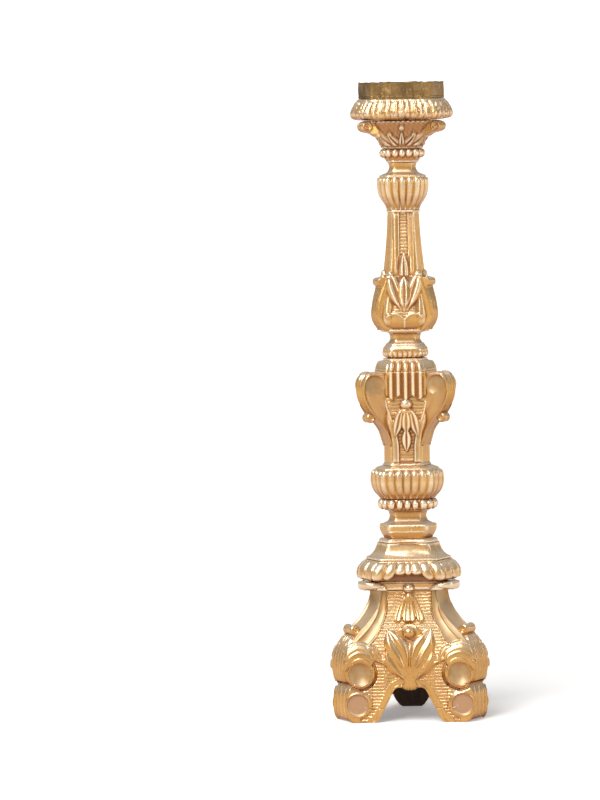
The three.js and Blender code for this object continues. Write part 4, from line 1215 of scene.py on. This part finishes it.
class STAND_OT_lower_shaft(Operator):
    """Carves the lower shaft: lappets, a husk with its bud, and a combed channel on each side"""

    bl_idname = "stand.lower_shaft"
    bl_label = "Lower Shaft"

    def execute(self, context):
        pitch = context.scene.stand_sizes.rung_pitch / MM
        runs = chained(
            [(15, 0), (36, 0)], [(35.5, 2), (33.7, 4)], [(33.4, 20), (34.2, 38), (36.5, 52), (39, 64),
             (41, 78), (42.3, 92), (43, 108), (43.4, 122), (43.6, 136)], [(15, 136)],
        )

        def relief(phi, across, z):
            a = np.abs(across)
            half = np.interp(z, [0, 30, 48, 66, 84, 100], [10.3, 10.3, 13, 19, 26, 29])
            depth = channel(across, z, half, 3, 104, pitch, 2.4)
            depth += 1.8 * hump((a - half - 5.4) / 4.6) * smooth(3, 8, z) * (1 - smooth(60, 84, z))
            depth = np.where(z > lappet_foot(across), lappets(across), depth)
            berry = 7.6 * hump(np.hypot(across / 9.2, (z - 89) / 7.8)) * (z < 99)
            mid = leaf(across, z, [(0, 84), (0, 66), (0, 47)], 17, 6.6, 2, 1.15, 0.0)
            husk = leaf(a, z, [(4, 84), (9, 74), (12, 60), (16.5, 42)], 15, 5.4, 2, 1.1, 0.2)
            calyx = 5.6 * hump(np.hypot(a / 9.5, (z - 79) / 6))
            bud = leaf(across, z, [(0, 54), (0, 38), (0, 20)], 15, 6.0, 2, 0.9, 0.25)
            return over(depth, berry, mid, husk, calyx, bud)

        mesh = section("lower_shaft", runs, relief, crisp=26, pitch=0.95)
        co = points(mesh)
        a, z = np.abs(facing(co)[1]), co[:, 2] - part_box("lower_shaft")[0].z / MM
        # painted shade: darker olive beside the channels on the lower part of the shaft
        marked(mesh, patina=0.6 * smooth(10, 13, a) * smooth(20, 17, a) * smooth(70, 40, z))
        piece("lower_shaft", mesh, "gilded wood", "lower_shaft")
        return {"FINISHED"}


class STAND_OT_collar(Operator):
    """Carves the lappet collar over the lower shaft"""

    bl_idname = "stand.collar"
    bl_label = "Lappet Collar"

    def execute(self, context):
        runs = chained(
            [(20, 0), (43.6, 0)], [(42.6, 4), (39.5, 9), (35, 13.5), (32.5, 15.5)], [(33.4, 17), (31, 18)],
            [(20, 18)],
        )

        def relief(phi, across, z):
            return lappets(across * np.interp(z, [0, 16], [1, 1.16])) * (1 - smooth(9, 15.5, z))

        stem_piece("lappet_collar", "lappet_collar", runs, relief, crisp=26)
        return {"FINISHED"}


class STAND_OT_knop(Operator):
    """Carves the lobed knop and the neck under the vase"""

    bl_idname = "stand.knop"
    bl_label = "Knop"

    def execute(self, context):
        runs = chained(
            [(14, 0), (27, 0)], [(31.5, 1.6), (34, 5.4), (34.6, 9)], [(33.6, 13.5), (29.6, 18.4)],
            [(28.6, 20.4), (26.5, 21.4)],
        ) + chained(
            [(26.5, 21), (23.4, 25), (22.9, 30), (24, 34), (27.4, 37)], [(14, 37)],
        )

        def relief(phi, across, z):
            lobe = 1.8 * hump(lobe_place(phi, KNOP_LOBES, 16)) - 1.2
            return lobe * smooth(0.5, 2.5, z) * (1 - smooth(6, 9.5, z))

        stem_piece("knop", "knop", runs, relief, crisp=16, pitch=0.8)
        return {"FINISHED"}


class STAND_OT_vase(Operator):
    """Carves the vase: tulip leaves over a folded band on each side"""

    bl_idname = "stand.vase"
    bl_label = "Vase"

    def execute(self, context):
        runs = chained(
            [(14, 0), (34.5, 0)], [(36.6, 1.8), (36.2, 4)],
            [(35, 5.2), (38.5, 9), (42, 16), (43.2, 24), (42.4, 33),
             (40, 44), (37.4, 54), (34.6, 64), (32.2, 74), (31, 81)], [(14, 81)],
        )

        def relief(phi, across, z):
            a = np.abs(across)
            # the fold: a bright line that dips in the middle
            line = 26.5 - 8.5 * np.exp(-((a / 5.5) ** 1.4)) - 3.2 * smooth(14, 24, a)
            above = smooth(line - 0.3, line + 1.6, z)
            depth = 2.4 * crest(z - line - 1.6, 1.7) * smooth(26, 22, a)
            rungs = 1.3 * ridges(z / 4.3) * smooth(16, 13, a) * smooth(line + 3, line + 4, z) * (z < 47)
            depth += -1.5 * above * smooth(22, 18, a) * (1 - smooth(60, 70, z)) + rungs
            depth += 1.2 * ball(a - 23, z - 23.5, 3.6)
            depth += 0.9 * crest(a, 2.2) * (z > 6) * (z < 17)
            side = 1.2 * hump((a - np.interp(z, [8, 30, 60, 81], [26, 25, 21, 17])) / 6.5) * smooth(6, 14, z)
            mid = leaf(across, z, [(0, 33), (0, 54), (0, 79)], 25, 7.2, 0, 1.0, 0.22)
            wing = leaf(a, z, [(4, 33), (9, 48), (14, 63), (21, 86)], 22, 6.4, 2, 1.0, 0.22)
            return over(depth + side, mid, wing)

        stem_piece("vase", "vase", runs, relief, crisp=24, pitch=0.9)
        return {"FINISHED"}


class STAND_OT_upper_shaft(Operator):
    """Carves the slender upper shaft with its runged channels"""

    bl_idname = "stand.upper_shaft"
    bl_label = "Upper Shaft"

    def execute(self, context):
        pitch = context.scene.stand_sizes.rung_pitch / MM * 0.94
        runs = chained(
            [(14, 0), (31, 0)], [(30, 10), (28.2, 26), (26.4, 44), (24.8, 62), (23.6, 80), (23.4, 90)],
            [(25, 91), (25, 93)], [(14, 93)],
        )

        def relief(phi, across, z):
            a = np.abs(across)
            depth = channel(across, z, 5.6, 27, 88, pitch, 2.0)
            depth += 1.3 * hump((a - 11.2) / 3.2) * smooth(0, 8, z) * (1 - smooth(84, 90, z))
            tip = leaf(across, z, [(0, -26), (0, 4), (0, 33)], 15, 5.4, 0, 1.0, 0.35)
            wing = leaf(a, z, [(17, -14), (19.5, -2), (21.5, 7)], 12, 4.0, 0, 0.9, 0.3)
            return over(depth, tip, wing)

        stem_piece("upper_shaft", "upper_shaft", runs, relief, crisp=26, pitch=0.8)
        return {"FINISHED"}


class STAND_OT_top_collar(Operator):
    """Carves the neck and the beaded collar under the capital"""

    bl_idname = "stand.top_collar"
    bl_label = "Top Collar"

    def execute(self, context):
        runs = chained(
            [(12, 0), (27.5, 0)], [(24, 1.6), (21.2, 5.5), (20.3, 10), (21.8, 15)],
            [(24.2, 16.4), (25, 18.4)], [(26.5, 20.5), (29, 23.4), (31.4, 27.5), (31.2, 31.5), (28, 35.5)],
            [(12, 35.5)],
        )

        def relief(phi, across, z):
            x = lobe_place(phi, COLLAR_BEADS, 14)
            return 3.6 * hump(np.hypot(x / 0.95, (z - 28.8) / 6.4)) - 0.5 * smooth(21, 24, z)

        stem_piece("top_collar", "top_collar", runs, relief, crisp=14, pitch=0.75)
        return {"FINISHED"}


class STAND_OT_capital(Operator):
    """Carves the leafy capital under the drip pan"""

    bl_idname = "stand.capital"
    bl_label = "Capital"

    def execute(self, context):
        runs = chained(
            [(12, 0), (29.5, 0)], [(31, 1.4), (30.6, 3)],
            [(31.4, 8), (35, 15), (40.5, 23), (47.5, 31), (53, 37)], [(53, 39.5)], [(12, 39.5)],
        )

        def relief(phi, across, z):
            a = np.abs(across)
            grain = 0.25 * np.sin(0.9 * across + 0.3 * z) * np.sin(0.5 * z)
            mid = leaf(across, z, [(0, 4), (0, 14), (0, 27)], 10, 4.6, 0, 0.35, 0.8)
            side = leaf(a, z, [(5, 4), (12, 12), (17, 19), (18, 27)], 13, 5.0, 5, 0.35, 0.8)
            far = leaf(a, z, [(14, 4), (22, 12), (31, 22), (38, 33)], 12, 4.4, 6, 0.35, 0.8)
            drop = 3.4 * ball(across, z - 29, 4.4)
            bud = 3.6 * ball(a - 17.5, z - 20, 4.2)
            return over(grain, mid, side, far, drop, bud)

        mesh = section("capital", runs, relief, crisp=16, pitch=0.95)
        # painted shade: the whole capital is darkened towards clay, as it lies under the drip pan
        marked(mesh, clay=np.full(len(mesh.vertices), 0.55))
        piece("capital", mesh, "gilded wood", "capital")
        return {"FINISHED"}


class STAND_OT_drip_pan(Operator):
    """Carves the worn drip pan with its fringe of tongues"""

    bl_idname = "stand.drip_pan"
    bl_label = "Drip Pan"

    def execute(self, context):
        count = context.scene.stand_sizes.fringe
        runs = chained(
            [(20, 0), (56, 0.5)],
            [(66, 1), (71.5, 3), (74.6, 7.5), (74.4, 12.5), (71.5, 19), (67.5, 25.5), (65.2, 30)],
            [(64.6, 31)], [(59.6, 31)], [(59.6, 41)], [(20, 41)],
        )

        def shift(radius, phi, across, z):
            wave = 1.3 * np.sin(0.09 * across + 1.0) + 0.8 * np.sin(0.24 * across)
            return (1.4 + 0.7 * wave) * smooth(14, 0, z) * smooth(50, 60, radius)

        def relief(phi, across, z):
            spot = around(phi, PAN_CORNER, 18) * count / 2 + 0.5
            spot += 0.10 * np.sin(3.1 * spot + np.sign(phi)) + 0.04 * np.sin(0.4 * z + 2 * spot)
            x = repeated(spot)
            tongue = 3.4 * hump(x) ** 0.8 - 1.9
            fade = smooth(1, 6, z) * (1 - smooth(24, 30.5, z))
            vein = 0.5 * np.sin(2.7 * across + 0.25 * z) * fade
            return tongue * fade + vein

        mesh = section("drip_pan", runs, relief, corner=PAN_CORNER, crisp=18, shift=shift)
        piece("drip_pan", mesh, "worn gilding", "drip_pan")
        return {"FINISHED"}


# ---- Scrolls on the stem's corners ----


def scroll_mesh(inner, foot, spots, half, counts, relief):
    """A scroll along +X, carved by relief.

    In side view each spot is a point on its outer line, and the height of the point behind it at inner.
    """
    mesh = made(brick(counts))
    b_in, b_side, b_up = points(mesh).T
    line = curved([(x, z + foot, inner, back + foot) for x, z, back in spots], 0.8)
    run = np.concatenate([[0], np.cumsum(np.linalg.norm(np.diff(line[:, :2], axis=0), axis=1))])
    spot = (b_up + 1) / 2 * run[-1]
    ox, oz, ix, iz = (np.interp(spot, run, column) for column in line.T)
    share = (b_in + 1) / 2
    x, z = ix + (ox - ix) * share, iz + (oz - iz) * share
    y = b_side * half(x, z)
    moved(mesh, np.stack([x, y, z], axis=1))
    outwards(mesh)
    co, no = points(mesh), normals(mesh)
    side = (np.abs(b_side) > 0.999) & (b_in < 0.999)
    face = (b_in > 0.999) & (np.abs(b_side) < 0.999)
    co += no * relief(x, y, z, side, face)[:, None]
    return moved(mesh, co)


class STAND_OT_ears(Operator):
    """Carves the ear scrolls on the lower shaft's corners"""

    bl_idname = "stand.ears"
    bl_label = "Ear Scrolls"

    def execute(self, context):
        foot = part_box("lower_shaft")[0].z / MM
        spots = [
            (33.4, 30, 29), (36.2, 38, 36), (40.6, 50, 44), (47, 59, 54), (55, 68, 64), (62.5, 77, 74),
            (69, 87, 86), (74, 97, 96), (76.5, 108, 106), (76.3, 118, 114), (73.5, 127, 122),
            (68.5, 132.8, 129), (62, 134.6, 133), (55, 134.2, 136),
        ]
        disc = (58, 116.5 + foot)

        def half(x, z):
            return 9.2 + 0.10 * (76 - x) * smooth(60 + foot, 100 + foot, z)

        def relief(x, y, z, side, face):
            # the side is one dished scroll: a round bowl above that runs out in a tail below
            heights = [30, 38, 50, 59, 68, 77, 87, 97, 108, 118, 127, 134]
            reaches = [33, 36, 40.6, 47, 55, 62.5, 69, 74, 76.5, 76.3, 73.5, 66]
            outer = np.interp(z - foot, heights, reaches)
            off = outer - x
            rim = 2.4 * smooth(4.6, 3.0, off)
            out = np.hypot((x - disc[0]) / 1.08, z - disc[1])
            below = smooth(disc[1] + 2, disc[1] - 9, z)
            bowl = 3.4 * (1 - (out / 14.4) ** 2) * (out < 14.4)
            tail = 2.6 * hump((off - 13) / 10.5) * smooth(foot + 44, foot + 62, z)
            bowl = np.maximum(bowl, tail * below)
            lip = 2.6 * crest(out - 15.8, 1.7) * (1 - below)
            fold = 1.1 * np.cos(y * 1.05) * smooth(62 + foot, 74 + foot, z) - 0.9
            edge = 1.5 * smooth(7.0, 9.0, np.abs(y))
            return np.where(side, rim + lip - bowl, 0) + np.where(face, fold * (np.abs(y) < 8.8) + edge, 0)

        mesh = scroll_mesh(29, foot, spots, half, (44, 22, 120), relief)
        x, _, z = points(mesh).T
        bowl = smooth(19, 9, np.hypot((x - disc[0]) / 1.08, z - disc[1]))
        marked(mesh, patina=0.9 * bowl, clay=0.35 * (1 - bowl) * (x < 68))
        rows("ear_scroll", mesh, LEG_TURNS, "gilded wood", "ear")
        curl = knob(7.2, 9, 62, 70 + foot)
        rows("ear_curl", curl, LEG_TURNS, "burnished gold", "ear_curl")
        return {"FINISHED"}


class STAND_OT_vase_scrolls(Operator):
    """Carves the lyre scrolls on the vase's corners"""

    bl_idname = "stand.vase_scrolls"
    bl_label = "Vase Scrolls"

    def execute(self, context):
        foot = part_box("vase")[0].z / MM
        spots = [
            (38, 3, 3), (41.5, 7, 6), (45.5, 11, 10), (49.3, 17, 16), (51.3, 24, 23), (51.2, 31, 30),
            (49.6, 39, 38), (47.8, 47, 46), (45.2, 55, 54), (42.6, 62, 61), (42.0, 66, 65), (45.4, 68, 68),
            (47.4, 72, 71), (46, 76.4, 74), (41, 78.4, 76), (35, 78.6, 78),
        ]

        def half(x, z):
            return 7.6 + 0.34 * (50 - x)

        def relief(x, y, z, side, face):
            groove = (-1.6 * (1 - (y / 8) ** 2) + 0.9 * crest(y, 1.6)) * (z < foot + 66)
            bead = 1.0 * hump((x - np.interp(z - foot, [3, 24, 47, 74], [36, 46, 43, 34])) / 3.4)
            return np.where(face, groove, 0) + np.where(side, bead, 0)

        mesh = scroll_mesh(28, foot, spots, half, (20, 18, 80), relief)
        rows("vase_scroll", mesh, LEG_TURNS, "burnished gold", "vase_scroll")
        return {"FINISHED"}


class STAND_OT_volutes(Operator):
    """Carves the curls that stand out from the capital's corners"""

    bl_idname = "stand.volutes"
    bl_label = "Capital Volutes"

    def execute(self, context):
        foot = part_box("capital")[0].z / MM
        spots = [
            (44, 18, 14), (51, 22, 18), (60, 24, 22), (66, 26.5, 25), (68.5, 31.5, 29), (66.5, 36.5, 33),
            (60, 39, 36), (52, 39.3, 39),
        ]

        def half(x, z):
            return np.full_like(x, 8.5)

        def relief(x, y, z, side, face):
            out = np.hypot(x - 61, z - 31.5 - foot)
            eye = 1.6 * crest(out - 6.4, 1.4) - 1.2 * smooth(5, 3, out) + 1.6 * smooth(2.2, 1.2, out)
            rib = 1.3 * ridges(y / 5.6 + 0.5) - 0.6
            return np.where(side, eye, 0) + np.where(face, rib, 0)

        mesh = scroll_mesh(34, foot, spots, half, (34, 16, 56), relief)
        rows("capital_volute", mesh, LEG_TURNS, "worn gilding", "capital_volute")
        return {"FINISHED"}


# ---- Tray and hidden wood ----


class STAND_OT_tray(Operator):
    """Bends the brass band round the pan, dented and lapped over itself on the front side"""

    bl_idname = "stand.tray"
    bl_label = "Brass Tray"

    def execute(self, context):
        low, high = (corner_point.z / MM for corner_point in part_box("tray_band"))
        tall = high - low
        half = 62.0
        runs = chained(
            [(half - 1.3, 0), (half - 0.3, 0), (half, 0.5)], [(half, tall - 0.6)],
            [(half - 0.6, tall), (half - 1.3, tall - 0.4)],
        )
        line = moulding(runs, 1.0)
        mesh = made(turned([tuple(p) for p in line], 360))
        co = points(mesh)
        phi = facing(co)[0]
        co[:, :2] *= plan(phi, PAN_CORNER, 42)[:, None]
        phi, across, _ = facing(co)
        front = (co[:, 1] < 0) & (np.abs(np.arctan2(co[:, 0], -co[:, 1])) < THIRD / 2)
        z = co[:, 2]
        # dents, a worn top edge, and the lap on the front side
        push = -1.0 * crest(across - 6, 16) * smooth(4, 22, z)
        push += 0.45 * np.sin(0.16 * across + 0.9) * smooth(2, 20, z) + 0.3 * np.sin(0.43 * across + 0.2 * z)
        bead = 0.55 * crest(z - 2.6, 0.8) - 0.35 * crest(z - 4.4, 0.7)
        lap = 0.85 * smooth(-15.6, -15.0, across) * smooth(17.6, 17.0, across) * front
        outer = np.hypot(co[:, 0], co[:, 1]) / plan(phi, PAN_CORNER, 42) > half - 0.8
        push = push + outer * (bead + lap)
        way = co[:, :2] / np.hypot(co[:, 0], co[:, 1])[:, None]
        co[:, :2] += way * push[:, None]
        top = smooth(tall - 6, tall, z)
        co[:, 2] += top * (-0.9 * crest(across - 4, 17) + 0.35 * np.sin(0.31 * across + 1.3)) - 0.3 * top
        co[:, 2] += low
        piece("tray_band", moved(mesh, co), "tarnished brass", "tray_band")
        refinish("tarnished brass", "band_nail", "tray_plate")
        return {"FINISHED"}


class STAND_OT_bare_wood(Operator):
    """Gives the core and the dowels their bare wood"""

    bl_idname = "stand.bare_wood"
    bl_label = "Bare Wood"

    def execute(self, context):
        refinish("bare wood", "dowel", "base_core")
        return {"FINISHED"}


# ---- Stage ----


def background_rays(tree):
    """1 for the rays that look straight, or in a reflection or through glass, at the background."""
    path = tree.nodes.new("ShaderNodeLightPath")
    seen = maths(tree, "MAXIMUM", path.outputs["Is Camera Ray"], path.outputs["Is Glossy Ray"])
    return maths(tree, "MAXIMUM", seen, path.outputs["Is Transmission Ray"])


def lamp(name, place, target, width, height, power):
    data = bpy.data.lights.new(name, "AREA")
    data.shape, data.size, data.size_y = "RECTANGLE", width, height
    data.energy = power
    light = bpy.data.objects.new(name, data)
    light.location = place
    light.rotation_euler = (Vector(target) - Vector(place)).to_track_quat("-Z", "Y").to_euler()
    bpy.context.scene.collection.objects.link(light)


class STAND_OT_stage(Operator):
    """Lays the pale floor, hangs the lamps and sets up the camera"""

    bl_idname = "stand.stage"
    bl_label = "Stage"

    def execute(self, context):
        scene = context.scene
        settings = scene.stand_stage
        # the floor runs far out and turns up into a round backdrop
        line = curved([(9, 0), (10.4, 0.2), (11, 0.8), (11.2, 1.6)], 0.25).tolist()
        mesh = made(domed([(0, 0), (1.5, 0), (4, 0), *line, (11.2, 2.4)], 72))
        mesh.flip_normals()
        mesh.polygons.foreach_set("use_smooth", [True] * len(mesh.polygons))
        floor = bpy.data.objects.new("floor", mesh)
        floor.visible_shadow = False
        scene.collection.objects.link(floor)
        material, tree, principled = shader("pale floor")
        principled.inputs["Base Color"].default_value = (0.87, 0.865, 0.86, 1)
        principled.inputs["Roughness"].default_value = 0.9
        principled.inputs["Specular IOR Level"].default_value = 0.1
        seen = background_rays(tree)
        glow = blended(tree, seen, (0, 0, 0, 1), (0.26, 0.26, 0.26, 1))
        tree.links.new(glow, principled.inputs["Emission Color"])
        principled.inputs["Emission Strength"].default_value = 1.0
        mesh.materials.append(material)
        world = bpy.data.worlds.new("studio")
        scene.world = world
        world.use_nodes = True
        tree = world.node_tree
        tree.nodes.clear()
        light = node(tree, "ShaderNodeBackground", None, Color=(1, 1, 1, 1), Strength=0.36)
        out = tree.nodes.new("ShaderNodeOutputWorld")
        tree.links.new(light.outputs[0], out.inputs[0])
        sun = bpy.data.lights.new("soft top light", "SUN")
        sun.energy, sun.angle = 2.5, math.radians(36)
        light = bpy.data.objects.new("soft top light", sun)
        light.rotation_euler = Vector((0.45, 0.75, -1.0)).to_track_quat("-Z", "Y").to_euler()
        scene.collection.objects.link(light)
        lamp("left window", (-1.0, -2.6, 1.7), (0, 0, 0.45), 0.45, 1.8, 18)
        lamp("right window", (2.1, -1.4, 1.2), (0, 0, 0.45), 0.35, 1.6, 7)
        data = bpy.data.cameras.new("camera")
        data.sensor_fit, data.sensor_height, data.lens = "VERTICAL", 24, settings.focal
        data.clip_end = 60
        camera = bpy.data.objects.new("camera", data)
        scene.collection.objects.link(camera)
        turn, pan, tilt = settings.turn, settings.pan, settings.tilt
        away = settings.distance
        place = Vector((away * math.sin(turn), -away * math.cos(turn), settings.height))
        look = Matrix.Rotation(turn + pan, 3, "Z") @ Matrix.Rotation(math.pi / 2 - tilt, 3, "X")
        look = look @ Matrix.Rotation(settings.roll, 3, "Z")
        camera.matrix_world = Matrix.Translation(place + Vector((0, AXIS_Y, 0))) @ look.to_4x4()
        scene.camera = camera
        scene.view_settings.view_transform = "Standard"
        return {"FINISHED"}


class STAND_PT_panel(Panel):
    """Lists the pieces of the stand and the sizes and colours that may be changed"""

    bl_idname = "STAND_PT_panel"
    bl_label = "Candle Stand"
    bl_space_type = "VIEW_3D"
    bl_region_type = "UI"
    bl_category = "Candle Stand"

    def draw(self, context):
        for group_name in ("stand_sizes", "stand_finishes", "stand_stage"):
            settings = getattr(context.scene, group_name)
            box = self.layout.box()
            for name in settings.__annotations__:
                box.prop(settings, name)
        for operator in OPERATORS:
            self.layout.operator(operator.bl_idname)


OPERATORS = (
    STAND_OT_boards, STAND_OT_berries, STAND_OT_legs, STAND_OT_leg_curls, STAND_OT_ledge,
    STAND_OT_cornice, STAND_OT_ogee_cap, STAND_OT_plinth_block, STAND_OT_bead_ring, STAND_OT_cups,
    STAND_OT_lower_shaft, STAND_OT_ears, STAND_OT_collar, STAND_OT_knop, STAND_OT_vase,
    STAND_OT_vase_scrolls, STAND_OT_upper_shaft, STAND_OT_top_collar, STAND_OT_capital,
    STAND_OT_volutes, STAND_OT_drip_pan, STAND_OT_tray, STAND_OT_bare_wood, STAND_OT_stage,
)
GROUPS = {"stand_sizes": StandSizes, "stand_finishes": StandFinishes, "stand_stage": StageSettings}


def register():
    for group_name, kind in GROUPS.items():
        bpy.utils.register_class(kind)
        setattr(bpy.types.Scene, group_name, PointerProperty(type=kind))
    for kind in (*OPERATORS, STAND_PT_panel):
        bpy.utils.register_class(kind)


def unregister():
    for kind in (STAND_PT_panel, *reversed(OPERATORS)):
        bpy.utils.unregister_class(kind)
    for group_name, kind in reversed(GROUPS.items()):
        delattr(bpy.types.Scene, group_name)
        bpy.utils.unregister_class(kind)


def main():
    register()
    for operator in OPERATORS:
        area, name = operator.bl_idname.split(".")
        if getattr(getattr(bpy.ops, area), name)() != {"FINISHED"}:
            raise RuntimeError(f"{operator.bl_label} wasn't finished")


if __name__ == "__main__":
    main()
